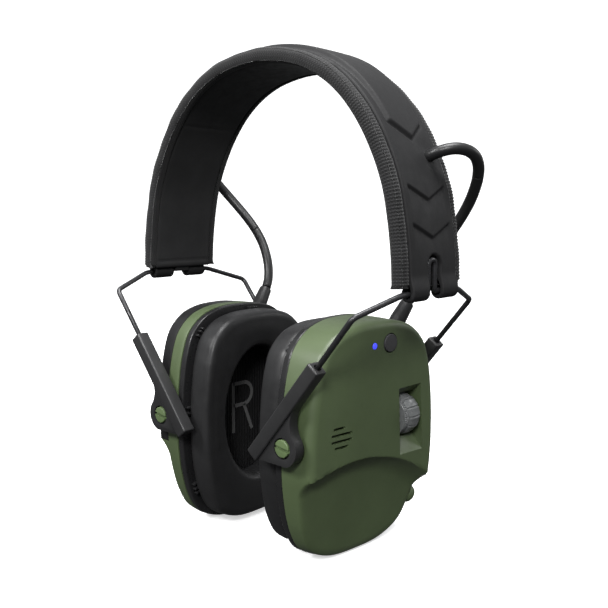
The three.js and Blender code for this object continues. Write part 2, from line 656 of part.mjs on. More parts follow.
add('right_shell', rightShell(), olive());
add('battery_door', batteryDoor(), blackPlastic());
add('battery_tray', batteryTray(), blackPlastic());
add('front_battery_cell', cell(-1), silver());
add('rear_battery_cell', cell(1), silver());

export default earmuff;
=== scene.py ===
# The looks of the electronic earmuff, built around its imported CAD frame.
# Shapes are worked out in millimetres in the frame's axes and stored in metres.
import json
import math

import bmesh
import bpy
import numpy as np
from mathutils import Matrix, Vector


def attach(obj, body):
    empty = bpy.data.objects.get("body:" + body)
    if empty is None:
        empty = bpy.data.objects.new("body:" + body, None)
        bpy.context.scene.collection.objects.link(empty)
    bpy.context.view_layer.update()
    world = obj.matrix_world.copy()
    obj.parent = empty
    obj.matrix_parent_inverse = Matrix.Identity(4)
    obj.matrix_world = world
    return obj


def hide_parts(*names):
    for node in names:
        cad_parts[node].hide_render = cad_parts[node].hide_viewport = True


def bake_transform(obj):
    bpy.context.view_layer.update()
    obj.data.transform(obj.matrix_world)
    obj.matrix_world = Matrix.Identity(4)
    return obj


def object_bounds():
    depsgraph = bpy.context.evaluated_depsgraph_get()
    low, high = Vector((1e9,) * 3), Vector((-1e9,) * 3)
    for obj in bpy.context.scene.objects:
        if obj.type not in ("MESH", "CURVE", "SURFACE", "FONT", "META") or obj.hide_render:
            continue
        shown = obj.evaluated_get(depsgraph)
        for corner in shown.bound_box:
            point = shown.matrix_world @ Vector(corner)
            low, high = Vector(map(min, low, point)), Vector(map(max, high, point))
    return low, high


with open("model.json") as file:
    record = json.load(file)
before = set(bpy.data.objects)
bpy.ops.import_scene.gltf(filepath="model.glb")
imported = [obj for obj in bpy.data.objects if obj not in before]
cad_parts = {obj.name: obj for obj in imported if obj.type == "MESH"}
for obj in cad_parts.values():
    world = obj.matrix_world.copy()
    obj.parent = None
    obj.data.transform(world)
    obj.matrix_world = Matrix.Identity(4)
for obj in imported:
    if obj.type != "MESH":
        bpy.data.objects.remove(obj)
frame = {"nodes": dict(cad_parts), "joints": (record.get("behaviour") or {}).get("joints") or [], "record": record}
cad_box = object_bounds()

MM = 0.001
SIDES = {"left": 1.0, "right": -1.0}
ENDS = {"front": -1.0, "rear": 1.0}
joints = {j["name"]: j for j in frame["joints"]}
CLIP_X, _, CLIP_Z = (v / MM for v in joints["left_fold"]["pos_m"])      # the yoke's fold axis
PIVOT_X, _, PIVOT_Z = (v / MM for v in joints["left_tilt"]["pos_m"])    # the cup's tilt axis
LEG = np.array(joints["left_height"]["axis"])                           # down the yoke's legs


# ---------------------------------------------------------------- camera
CAMERA = {"azimuth": 41.4, "elevation": 6.95, "roll": 0.28, "distance": 336.46, "focal": 780.34}
LOOK_AT = np.array([10.4, 0.0, CLIP_Z - 10.04])
FRAME_PIXELS = 608


def make_camera():
    a, e, roll = (math.radians(CAMERA[k]) for k in ("azimuth", "elevation", "roll"))
    back = Vector((math.sin(a) * math.cos(e), -math.cos(a) * math.cos(e), math.sin(e)))
    right = Vector((math.cos(a), math.sin(a), 0))
    up = back.cross(right)
    right, up = (math.cos(roll) * right + math.sin(roll) * up, math.cos(roll) * up - math.sin(roll) * right)
    data = bpy.data.cameras.new("camera")
    data.sensor_width = 36
    data.lens = CAMERA["focal"] / FRAME_PIXELS * data.sensor_width
    data.clip_start, data.clip_end = 0.01, 20
    camera = bpy.data.objects.new("camera", data)
    bpy.context.scene.collection.objects.link(camera)
    place = Vector(LOOK_AT) * MM + back * CAMERA["distance"] * MM
    camera.matrix_world = Matrix.Translation(place) @ Matrix((right, up, back)).transposed().to_4x4()
    bpy.context.scene.camera = camera


make_camera()


# ---------------------------------------------------------------- mesh helpers
def mesh_object(name, points, faces, smooth=True):
    """A mesh object from points in millimetres."""
    mesh = bpy.data.meshes.new(name)
    mesh.from_pydata((np.asarray(points, float) * MM).tolist(), [], [list(map(int, f)) for f in faces])
    mesh.validate()
    mesh.update()
    obj = bpy.data.objects.new(name, mesh)
    bpy.context.scene.collection.objects.link(obj)
    fix_normals(obj)
    if smooth:
        mesh.polygons.foreach_set("use_smooth", [True] * len(mesh.polygons))
    return obj


def fix_normals(obj):
    bm = bmesh.new()
    bm.from_mesh(obj.data)
    bmesh.ops.recalc_face_normals(bm, faces=bm.faces)
    bm.to_mesh(obj.data)
    bm.free()


def crease(obj, degrees=38):
    """Smooth shading with sharp edges where the surface turns by more than the angle."""
    bm = bmesh.new()
    bm.from_mesh(obj.data)
    limit = math.radians(degrees)
    for f in bm.faces:
        f.smooth = True
    for e in bm.edges:
        e.smooth = len(e.link_faces) == 2 and e.calc_face_angle(0) < limit
    bm.to_mesh(obj.data)
    bm.free()
    return obj


def baked(obj):
    """Applies the object's modifiers."""
    graph = bpy.context.evaluated_depsgraph_get()
    mesh = bpy.data.meshes.new_from_object(obj.evaluated_get(graph))
    obj.modifiers.clear()
    obj.data = mesh
    return obj


def bevelled(obj, width, segments=3, degrees=35):
    m = obj.modifiers.new("bevel", "BEVEL")
    m.width, m.segments, m.limit_method = width * MM, segments, "ANGLE"
    m.angle_limit = math.radians(degrees)
    return baked(obj)


def boolean(obj, tool, operation="DIFFERENCE"):
    """Cuts, joins or clips the object with a closed tool, which is used up."""
    m = obj.modifiers.new("cut", "BOOLEAN")
    m.object, m.operation, m.solver = tool, operation, "MANIFOLD"
    baked(obj)
    bpy.data.objects.remove(tool)
    return obj


def loop_faces(rows, columns, wrapped=False):
    """Quads between closed rows of points; wrapped joins the last row to the first."""
    faces = []
    for i in range(rows if wrapped else rows - 1):
        a, b = i * columns, (i + 1) % rows * columns
        for j in range(columns):
            k = (j + 1) % columns
            faces.append((a + j, a + k, b + k, b + j))
    return faces


def loft(name, rings, wrapped=False, smooth=True):
    """Rings of equal length joined in order, with a cap at each end unless wrapped."""
    rings = [np.asarray(r, float) for r in rings]
    n = len(rings[0])
    faces = loop_faces(len(rings), n, wrapped)
    if not wrapped:
        faces += [tuple(range(n)), tuple(range((len(rings) - 1) * n, len(rings) * n))]
    return mesh_object(name, np.vstack(rings), faces, smooth)


def block(name, low, high):
    (x0, y0, z0), (x1, y1, z1) = low, high
    ring = lambda z: [(x0, y0, z), (x1, y0, z), (x1, y1, z), (x0, y1, z)]
    return loft(name, [ring(z0), ring(z1)], smooth=False)


def spline(points, count, wrapped=False):
    """Evenly spaced points on a centripetal Catmull-Rom curve."""
    p = np.asarray(points, float)
    p = np.vstack([p[-1:], p, p[:2]]) if wrapped else np.vstack([2 * p[0] - p[1], p, 2 * p[-1] - p[-2]])
    dense = []
    for k in range(1, len(p) - 2):
        a, b, c, d = p[k - 1:k + 3]
        t = np.cumsum([0, *(max(np.linalg.norm(v), 1e-9) ** 0.5 for v in (b - a, c - b, d - c))])
        for u in np.linspace(t[1], t[2], 24, endpoint=False):
            mix = lambda v, w, i, j: (v * (t[j] - u) + w * (u - t[i])) / (t[j] - t[i])
            first, middle, last = mix(a, b, 0, 1), mix(b, c, 1, 2), mix(c, d, 2, 3)
            dense.append(mix(mix(first, middle, 0, 2), mix(middle, last, 1, 3), 1, 2))
    dense.append(p[1] if wrapped else p[-2])
    return even(dense, count + 1 if wrapped else count)[:count]


def even(points, count):
    """The polyline resampled at even distances."""
    p = np.asarray(points, float)
    s = np.r_[0, np.cumsum(np.linalg.norm(np.diff(p, axis=0), axis=1))]
    u = np.linspace(0, s[-1], count)
    return np.stack([np.interp(u, s, p[:, k]) for k in range(p.shape[1])], 1)


def frames_along(path):
    """Tangents and two cross directions that don't twist."""
    p = np.asarray(path, float)
    t = np.gradient(p, axis=0)
    t /= np.linalg.norm(t, axis=1)[:, None]
    start = np.cross(t[0], (0, 0, 1) if abs(t[0][2]) < 0.9 else (0, 1, 0))
    u = [start / np.linalg.norm(start)]
    for k in range(1, len(t)):
        v = u[-1] - t[k] * (u[-1] @ t[k])
        u.append(v / np.linalg.norm(v))
    u = np.array(u)
    return t, u, np.cross(t, u)


def round_rings(path, radius, sides):
    _, u, v = frames_along(path)
    a = np.linspace(0, 2 * math.pi, sides, endpoint=False)
    return [p + radius * (np.outer(np.cos(a), u[k]) + np.outer(np.sin(a), v[k])) for k, p in enumerate(path)]


def tube(name, path, radius, sides=16, capped=True):
    """A round tube along a path."""
    rings = round_rings(path, radius, sides)
    if capped:
        return loft(name, rings)
    return mesh_object(name, np.vstack(rings), loop_faces(len(rings), sides))


def turned(name, profile, at, direction, sides=48, wave=None):
    """A turned piece from radius, distance pairs; wave(angle, radius, distance) may change a radius."""
    axis = Vector(direction).normalized()
    turn = np.array(Vector((0, 0, 1)).rotation_difference(axis).to_matrix())
    a = np.linspace(0, 2 * math.pi, sides, endpoint=False)
    rings = []
    for r, d in profile:
        radius = np.full(sides, float(r)) if wave is None else np.array([wave(x, r, d) for x in a])
        ring = np.stack([radius * np.cos(a), radius * np.sin(a), np.full(sides, float(d))], 1)
        rings.append(ring @ turn.T + np.asarray(at, float))
    return loft(name, rings)


def corner(a, b, c, segments):
    """Points on the curve from a to c that bends towards b."""
    a, b, c = (np.asarray(v, float) for v in (a, b, c))
    return [(1 - t) ** 2 * a + 2 * t * (1 - t) * b + t * t * c for t in np.linspace(0, 1, segments + 1)]


def bore(obj, radius, start, end, at, way, sides=32):
    """Drills a round hole from start to end along a line."""
    boolean(obj, turned("drill", [(radius, start), (radius, end)], at, way, sides))


def rounded(corners, segments=4):
    """A profile whose corners (x, y, radius) are rounded; a radius of 0 keeps a corner sharp."""
    points = []
    for k, (x, y, r) in enumerate(corners):
        c = np.array([x, y], float)
        if r <= 0 or k in (0, len(corners) - 1):
            points.append(c)
            continue
        a, b = (np.array(corners[i][:2], float) - c for i in (k - 1, k + 1))
        p, q = c + a / np.linalg.norm(a) * r, c + b / np.linalg.norm(b) * r
        points += corner(p, c, q, segments)
    return [tuple(p) for p in points]


def fillet(corners, radius, segments=6):
    """A path of straight runs with round corners."""
    c = [np.asarray(p, float) for p in corners]
    out = [c[0]]
    for k in range(1, len(c) - 1):
        a, b = c[k - 1] - c[k], c[k + 1] - c[k]
        p, q = c[k] + a / np.linalg.norm(a) * radius, c[k] + b / np.linalg.norm(b) * radius
        out += corner(p, c[k], q, segments)
    return np.array(out + [c[-1]])


def smoothstep(x, low=0.0, high=1.0):
    t = np.clip((np.asarray(x, float) - low) / (high - low), 0, 1)
    return t * t * (3 - 2 * t)


def flipped(points, side):
    """The same points for the given side of the head."""
    return np.asarray(points, float) * np.array([side, 1, 1])


# ---------------------------------------------------------------- materials
class Nodes:
    """A material's node tree, with short ways to add what the finishes here use."""

    def __init__(self, name):
        self.material = bpy.data.materials.new(name)
        self.material.use_nodes = True
        self.tree = self.material.node_tree
        self.shader = self.tree.nodes["Principled BSDF"]
        self.coords = self.tree.nodes.new("ShaderNodeTexCoord").outputs["Object"]

    def add(self, kind, **values):
        node = self.tree.nodes.new(kind)
        for key, value in values.items():
            if hasattr(node, key):
                setattr(node, key, value)
            else:
                node.inputs[key.replace("_", " ")].default_value = value
        return node

    def link(self, a, b):
        self.tree.links.new(a, b)

    def noise(self, scale, detail=4.0, roughness=0.5):
        node = self.add("ShaderNodeTexNoise", Scale=scale, Detail=detail, Roughness=roughness)
        self.link(self.coords, node.inputs["Vector"])
        return node.outputs["Fac"]

    def spread(self, value, low, high):
        """Stretches the middle of a noise, where nearly all of it lies, from low to high."""
        node = self.add("ShaderNodeMapRange", From_Min=0.35, From_Max=0.65, To_Min=low, To_Max=high)
        self.link(value, node.inputs["Value"])
        return node.outputs["Result"]

    def colours(self, value, a, b):
        node = self.tree.nodes.new("ShaderNodeMix")
        node.data_type = "RGBA"
        node.inputs["A"].default_value = (*a, 1)
        node.inputs["B"].default_value = (*b, 1)
        self.link(value, node.inputs["Factor"])
        return node.outputs["Result"]

    def base(self, value, colour, low, high):
        """The base colour, between a low and a high share of the given one."""
        out = self.colours(value, scaled(colour, low), scaled(colour, high))
        self.link(out, self.shader.inputs["Base Color"])

    def rough(self, value, low, high):
        self.link(self.spread(value, low, high), self.shader.inputs["Roughness"])

    def fixed(self, **values):
        """Uniform values of the shader, such as roughness or sheen_weight."""
        for key, value in values.items():
            name = key.replace("_", " ").title().replace("Ior", "IOR")
            self.shader.inputs[name].default_value = value

    def bump(self, layers):
        """Bumps stacked in order: height, strength, distance in millimetres."""
        last = None
        for height, strength, distance in layers:
            node = self.add("ShaderNodeBump", Strength=strength, Distance=distance * MM)
            self.link(height, node.inputs["Height"])
            if last is not None:
                self.link(last, node.inputs["Normal"])
            last = node.outputs["Normal"]
        self.link(last, self.shader.inputs["Normal"])


WAVE_UNIT = 0.314                  # a wave texture's scale for one band to each unit of length


def scaled(colour, factor):
    return tuple(min(1.0, c * factor) for c in colour)


def moulded(name, colour, rough, grain=0.12, size=2600, specular=0.5, mottle=0.06):
    """Moulded plastic: a fine spark-eroded grain, slight mottling and uneven sheen."""
    n = Nodes(name)
    n.base(n.spread(n.noise(55, 3), 0, 1), colour, 1 - mottle, 1 + mottle)
    n.rough(n.noise(180, 5, 0.6), rough - 0.06, rough + 0.06)
    n.fixed(specular_ior_level=specular)
    n.bump([(n.noise(size, 2, 0.5), grain, 0.12), (n.noise(140, 3), grain * 0.5, 0.15)])
    return n.material


def leather(name, colour, rough, depth=0.25, specular=0.3):
    """Smooth synthetic leather: a pebbled grain of small cells with creases between them."""
    n = Nodes(name)
    cells = n.add("ShaderNodeTexVoronoi", Scale=1500, Randomness=0.9)
    n.link(n.coords, cells.inputs["Vector"])
    n.base(n.spread(n.noise(70, 4), 0, 1), colour, 0.88, 1.12)
    n.rough(n.noise(240, 5, 0.6), rough - 0.06, rough + 0.08)
    n.fixed(specular_ior_level=specular)
    n.bump([(cells.outputs["Distance"], depth, 0.10), (n.noise(110, 4), 0.25, 0.25)])
    return n.material


def woven(name, colour, pitch=0.9):
    """A knitted mesh: crossed threads laid along the piece's own u and v, in millimetres."""
    n = Nodes(name)
    uv = n.tree.nodes.new("ShaderNodeTexCoord").outputs["UV"]
    threads = []
    for turn in (0.7854, -0.7854):
        place = n.add("ShaderNodeMapping", Rotation=(0, 0, turn))
        n.link(uv, place.inputs["Vector"])
        wave = n.add("ShaderNodeTexWave", Scale=WAVE_UNIT / pitch, Distortion=0.6, Detail=1.0)
        n.link(place.outputs["Vector"], wave.inputs["Vector"])
        threads.append(wave.outputs["Fac"])
    both = n.add("ShaderNodeMath", operation="MULTIPLY")
    n.link(threads[0], both.inputs[0])
    n.link(threads[1], both.inputs[1])
    weave = both.outputs["Value"]
    n.base(weave, colour, 0.55, 1.35)
    n.fixed(roughness=0.85, sheen_weight=0.12, sheen_roughness=0.5, specular_ior_level=0.2)
    n.bump([(weave, 0.5, 0.18), (n.noise(900, 2), 0.2, 0.1)])
    return n.material


def metal(name, colour, rough, metallic):
    """Plain metal with a finely uneven surface."""
    n = Nodes(name)
    n.fixed(metallic=metallic)
    fine = n.noise(900, 4, 0.6)
    n.base(n.spread(fine, 0, 1), colour, 0.9, 1.1)
    n.rough(n.noise(300, 5, 0.7), rough - 0.1, rough + 0.1)
    n.bump([(fine, 0.12, 0.05)])
    return n.material


def porous(name, colour):
    """Open-cell foam: deep pores, no shine."""
    n = Nodes(name)
    pores = n.add("ShaderNodeTexVoronoi", Scale=900, Randomness=1.0)
    n.link(n.coords, pores.inputs["Vector"])
    n.base(pores.outputs["Distance"], colour, 0.4, 1.4)
    n.fixed(roughness=0.95, specular_ior_level=0.2)
    pleats = n.add("ShaderNodeTexWave", Scale=WAVE_UNIT / (1.7 * MM))
    pleats.bands_direction = "Y"
    n.link(n.coords, pleats.inputs["Vector"])
    n.bump([(pores.outputs["Distance"], 0.5, 0.3), (pleats.outputs["Fac"], 0.8, 0.5)])
    return n.material


def glowing(name, colour, strength):
    """A small lit lens."""
    n = Nodes(name)
    n.base(n.noise(2000, 2), colour, 0.9, 1)
    n.fixed(emission_color=(*colour, 1), emission_strength=strength, roughness=0.25)
    return n.material


# Each finish: its kind, its colour and what differs from that kind's usual values.
FINISHES = {
    "olive_shell": (moulded, (0.060, 0.084, 0.038), dict(rough=0.42, grain=0.16, size=3000, specular=0.5)),
    "olive_screw": (moulded, (0.085, 0.125, 0.052), dict(rough=0.45, grain=0.1)),
    "black_plastic": (moulded, (0.012, 0.012, 0.0125), dict(rough=0.30, grain=0.06, specular=0.35)),
    "door_black": (moulded, (0.0085, 0.0085, 0.009), dict(rough=0.42, grain=0.14, size=3000, specular=0.3)),
    "arm_nylon": (moulded, (0.018, 0.018, 0.0185), dict(rough=0.40, grain=0.14, size=2200, specular=0.35)),
    "cover_rubber": (moulded, (0.013, 0.013, 0.0135), dict(rough=0.62, grain=0.3, size=2400, specular=0.16)),
    "cable_rubber": (moulded, (0.010, 0.010, 0.0105), dict(rough=0.40, grain=0.06, specular=0.35)),
    "button_grey": (moulded, (0.050, 0.050, 0.052), dict(rough=0.5, grain=0.2, specular=0.3)),
    "knob_grey": (moulded, (0.115, 0.12, 0.12), dict(rough=0.28, grain=0.08, mottle=0.1)),
    "band_leather": (leather, (0.022, 0.022, 0.0225), dict(rough=0.55, specular=0.25)),
    "cushion_leather": (leather, (0.0135, 0.0135, 0.014), dict(rough=0.40, depth=0.12, specular=0.3)),
    "band_fabric": (woven, (0.018, 0.018, 0.0185), dict()),
    "black_wire": (metal, (0.030, 0.030, 0.032), dict(rough=0.33, metallic=0.5)),
    "spring_steel": (metal, (0.30, 0.31, 0.34), dict(rough=0.3, metallic=1.0)),
    "component_metal": (metal, (0.55, 0.55, 0.54), dict(rough=0.35, metallic=1.0)),
    "cell_can": (metal, (0.38, 0.38, 0.4), dict(rough=0.3, metallic=0.8)),
    "ear_foam": (porous, (0.006, 0.006, 0.0065), dict()),
    "side_mark": (moulded, (0.085, 0.085, 0.085), dict(rough=0.6, specular=0.2)),
    "blue_lens": (glowing, (0.05, 0.06, 0.95), dict(strength=1.1)),
    "board_green": (moulded, (0.015, 0.11, 0.045), dict(rough=0.35, grain=0.05, size=800)),
}
finishes = {name: kind(name, colour, **values) for name, (kind, colour, values) in FINISHES.items()}


def finish_piece(obj, slot, body, *nodes, material=None):
    """The piece takes a finish, rides on its body and stands for its CAD nodes."""
    obj.data.materials.clear()
    obj.data.materials.append(finishes[material or slot])
    if body:
        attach(obj, body)
    if nodes:
        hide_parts(*nodes)
    return obj


# ---------------------------------------------------------------- cables
CABLE_R, CABLE_STEPS = 2.3, 40     # radius, rings in each of a cable's three lengths
CABLE_ROUTE = [(65.4, 7.7, 50), (68.6, 7.8, 51.6), (72, 9, 52.8), (75.3, 11.6, 53.6), (77.8, 15.6, 53.3),
               (78.9, 20.4, 51.6), (78.2, 25.2, 48.3), (76.2, 29, 44), (73.3, 32, 39.2), (69.8, 34.6, 34.3),
               (65.8, 36.7, 29.3), (61.4, 38.2, 24.1), (57, 38.9, 18.8), (52.8, 38.8, 13.2), (49, 37.7, 7.4),
               (45.8, 36, 1.4), (43.9, 34, -4.8), (42.92, 31.6, -8.8)]


def make_cable(side_name, side):
    """Each cable is three lengths, each meeting the next end to end."""
    route = flipped(spline(CABLE_ROUTE, 3 * CABLE_STEPS + 1), side) + np.array([0, 0, CLIP_Z])
    rings = round_rings(route, CABLE_R, sides=20)
    for k, part_name in enumerate(("upper", "middle", "lower")):
        part = slice(k * CABLE_STEPS, (k + 1) * CABLE_STEPS + 1)
        name = f"{side_name}_cable_{part_name}"
        piece = loft(name, rings[part])
        piece.data.materials.append(finishes["cable_rubber"])
        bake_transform(piece)
        if k == 0:
            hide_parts(f"{side_name}_cable")


for side_name, side in SIDES.items():
    make_cable(side_name, side)


# ---------------------------------------------------------------- headband
# The spring's line from the left end to the crown, as x and height above the fold axis.
BAND_LINE = [(72.7, 0), (71.9, 14), (70.2, 27), (67.2, 40.5), (61.8, 53.5), (54.2, 66), (44.6, 76.8),
             (33.6, 84.6), (20, 90), (0, 92.6)]
BAND_HALF, COVER_HALF, LINER_HALF = 20.5, 15.5, 16.5
PAD_START = 2.2                    # where the pad and the liner begin, along the band
RIB_PITCH = 1.25
LINER_TOP, LINER_FACE, LINER_SEAM = -2.55, -2.95, 58.0

half = np.array([(x, z + CLIP_Z) for x, z in BAND_LINE])
band_path = spline(np.vstack([half, half[-2::-1] * (-1, 1)]), 2601)
band_path = np.stack([band_path[:, 0], np.zeros(len(band_path)), band_path[:, 1]], 1)
band_steps = np.r_[0, np.cumsum(np.linalg.norm(np.diff(band_path, axis=0), axis=1))]
BAND_LENGTH = band_steps[-1]
band_tangent = np.gradient(band_path, band_steps, axis=0)


def on_band(s, y, h):
    """A point of the band: s along it from the left end, y across it, h out from the spring's line."""
    s, y, h = np.broadcast_arrays(np.asarray(s, float), np.asarray(y, float), np.asarray(h, float))
    p = np.stack([np.interp(s, band_steps, band_path[:, k]) for k in range(3)], -1)
    t = np.stack([np.interp(s, band_steps, band_tangent[:, k]) for k in range(3)], -1)
    out = np.stack([t[..., 2], np.zeros_like(s), -t[..., 0]], -1)
    out /= np.linalg.norm(out, axis=-1)[..., None]
    return p + out * h[..., None] + np.stack([np.zeros_like(y), y, np.zeros_like(y)], -1)


def strip_uv(obj, rows, columns, along, across):
    """Lays u along the strip and v across it, in millimetres, for the weave."""
    layer = obj.data.uv_layers.new(name="weave")
    where = np.stack([np.repeat(along, columns), np.tile(across, rows)], 1)
    index = np.empty(len(obj.data.loops), int)
    obj.data.loops.foreach_get("vertex_index", index)
    layer.data.foreach_set("uv", where[np.minimum(index, len(where) - 1)].ravel())


def make_band_pad():
    """The padded fabric sleeve: a web with a rounded, ribbed rim along each side."""
    o, i = BAND_HALF, COVER_HALF + 0.35
    half_section = [(i, -0.6, 0), (i, 1.9, 0.8), (i + 0.9, 2.75, 0.7), (o - 1.6, 2.75, 1.2), (o, 1.3, 1.2),
                    (o, -1.9, 1.3), (o - 1.3, -3.4, 1.2), (o - 3.7, -3.4, 0.5), (o - 3.9, -2.4, 0)]
    half_section = rounded(half_section, 5)
    section = np.array(half_section + [(-y, h) for y, h in reversed(half_section)])
    step = RIB_PITCH / 4
    s = np.arange(PAD_START, BAND_LENGTH - PAD_START + 1e-6, step)
    turn = np.roll(section, -1, axis=0) - np.roll(section, 1, axis=0)
    normal = np.stack([turn[:, 1], -turn[:, 0]], 1)
    normal /= np.linalg.norm(normal, axis=1)[:, None]
    if (normal * section).sum() < 0:
        normal = -normal
    on_rim = smoothstep(np.abs(section[:, 0]), i + 0.3, i + 1.5) * smoothstep(section[:, 1], -3.2, -1.0)
    from_crown = np.abs(s - BAND_LENGTH / 2)
    depth = 0.05 + 0.11 * smoothstep(from_crown, 25, 75)
    rib = depth * np.cos(2 * math.pi * s / RIB_PITCH)
    wander = 0.10 * np.sin(s * 0.21) + 0.07 * np.sin(s * 0.53 + 1)
    end = np.minimum(s - s[0], s[-1] - s)
    tuck = -0.9 * (1 - smoothstep(end, 0, 1.6))
    rings = []
    for k, at in enumerate(s):
        move = on_rim * (rib[k] + wander[k]) + tuck[k] * smoothstep(np.abs(section[:, 0]), i, i + 1)
        flat = section + normal * move[:, None]
        rings.append(on_band(at, flat[:, 0], flat[:, 1]))
    pad = loft("band_pad", rings)
    around = np.r_[0, np.cumsum(np.linalg.norm(np.diff(section, axis=0), axis=1))]
    strip_uv(pad, len(s), len(section), s, around)
    return finish_piece(pad, "band_fabric", "headband", "band_pad")


def make_band_liner():
    """The leatherette strip on the inside, slightly pillowed between its seams."""
    s = np.linspace(PAD_START, BAND_LENGTH - PAD_START, 320)
    rim = LINER_HALF - np.array([0, 0.2, 0.6])
    y = np.r_[-rim, np.linspace(-LINER_HALF + 1.3, LINER_HALF - 1.3, 21), rim[::-1]]
    edge = np.minimum(LINER_HALF - np.abs(y), 1.2) / 1.2
    puff = 0.35 * np.sqrt(np.clip(edge, 0, 1)) + 0.12 * (1 - (y / LINER_HALF) ** 2)
    seams = [0.5 * BAND_LENGTH + d for d in (-LINER_SEAM, LINER_SEAM)]
    rings = []
    for at in s:
        groove = sum(0.32 * math.exp(-((at - c) / 0.5) ** 2) for c in seams)
        end = min(at - s[0], s[-1] - at)
        hem = 0.35 * math.exp(-((end - 3.2) / 0.45) ** 2)
        low = LINER_FACE - puff * smoothstep(end, -0.2, 0.9) + (groove + hem) * smoothstep(edge)
        rings.append(on_band(at, np.r_[y, y[::-1]], np.r_[low, np.full(len(y), LINER_TOP)]))
    liner = loft("band_liner", rings)
    return finish_piece(liner, "band_leather", "headband", "band_liner")


SLOT_HALF, SLOT_ROUND = 4.5, 9.2   # half the slot's width, and where its round end is centred
CHEVRONS = (20.0, 34.0)            # the chevrons' tips, from the band's ends
PANEL_TIP, PANEL_HALF, PANEL_RISE = 57.0, 11.0, 1.75
CABLE_HOLE = (53.5, 7.9)           # along and across the band
COVER_OUT, COVER_IN, COVER_EDGE = 3.2, 0.9, 0.9
WRAP_MID, WRAP_THIN, WRAP_TURN = 2.3, 0.8, math.radians(232)     # the sleeves round the wire
WRAP_BLEND = (0.8, 7.0)            # the stretch where the sleeves' wall becomes the cover's


def cover_height(s, y):
    """The rubber cover's moulded outer face: raised crown panel, chevrons and the dish round the cable."""
    h = np.full(np.broadcast(s, y).shape, COVER_OUT)
    h = h + 0.25 * (1 - (y / COVER_HALF) ** 2)
    reach = s - PANEL_TIP - 0.62 * np.abs(y)
    side = PANEL_HALF + 0.9 * smoothstep(s, 70, 100) - np.abs(y)
    inside = np.minimum(reach, side * 1.1)
    rise = PANEL_RISE * (0.55 + 0.45 * smoothstep(s, PANEL_TIP, PANEL_TIP + 45))
    h = h + rise * smoothstep(inside, -0.2, 1.7)
    h = h - 0.4 * np.exp(-((inside + 0.3) / 0.7) ** 2)
    for tip in CHEVRONS:
        below = tip + 0.42 * np.abs(y) - s
        width = smoothstep(13.4 - np.abs(y), 0, 2.5)
        ramp = np.exp(-np.clip(below, 0, None) / 4.0) * smoothstep(below, -0.3, 0.4)
        h = h - 1.0 * ramp * width
    hole = np.hypot(s - CABLE_HOLE[0], y - CABLE_HOLE[1])
    return h - 0.9 * np.exp(-(hole / 4.2) ** 2)


def cover_rows():
    """Where the cover's rows of points lie along the band, and how far the slot reaches across each."""
    fine = np.arange(WRAP_BLEND[0], 16, 0.4)
    coarse = np.r_[np.arange(16.3, 80, 0.45), np.linspace(80.5, BAND_LENGTH / 2, 90)]
    wrap = -np.linspace(WRAP_TURN, 0, 26)[:-1] * WRAP_MID
    rows = []
    for at in np.r_[wrap, fine, coarse]:
        edge = math.sqrt(max(SLOT_HALF ** 2 - max(at - SLOT_ROUND, 0) ** 2, 0))
        rows.append((at, 0.0 if at > SLOT_ROUND + SLOT_HALF - 0.25 else edge))
    return rows


def cover_row(at, y, side):
    """One row's outer and inner points; its edges are rounded off towards the slot and the rims."""
    gap = (np.hypot(y, at - SLOT_ROUND) if at > SLOT_ROUND else y) - SLOT_HALF
    gap = np.where(at > SLOT_ROUND + SLOT_HALF + 2, 5, gap)
    gap = np.clip(np.minimum(gap, COVER_HALF + 0.02 - y), 0, COVER_EDGE)
    drop = COVER_EDGE - np.sqrt(np.clip(COVER_EDGE ** 2 - (COVER_EDGE - gap) ** 2, 0, None))
    across = side * y
    if at < WRAP_BLEND[0]:
        turn = -at / WRAP_MID
        ray = np.array([math.cos(turn), 0, -math.sin(turn)])
        spot = np.array([CLIP_X, 0, CLIP_Z]) + np.outer(across, (0, 1, 0))
        return spot + np.outer(WRAP_MID + WRAP_THIN - drop, ray), spot + (WRAP_MID - WRAP_THIN) * ray
    near = smoothstep(at, *WRAP_BLEND)
    wrap = CLIP_X - BAND_LINE[0][0] + WRAP_MID
    outer = (cover_height(at, across) - drop) * near + (1 - near) * (wrap + WRAP_THIN - drop)
    inner = COVER_IN * near + (1 - near) * (wrap - WRAP_THIN)
    return on_band(at, across, outer), on_band(at, across, np.full_like(y, inner))


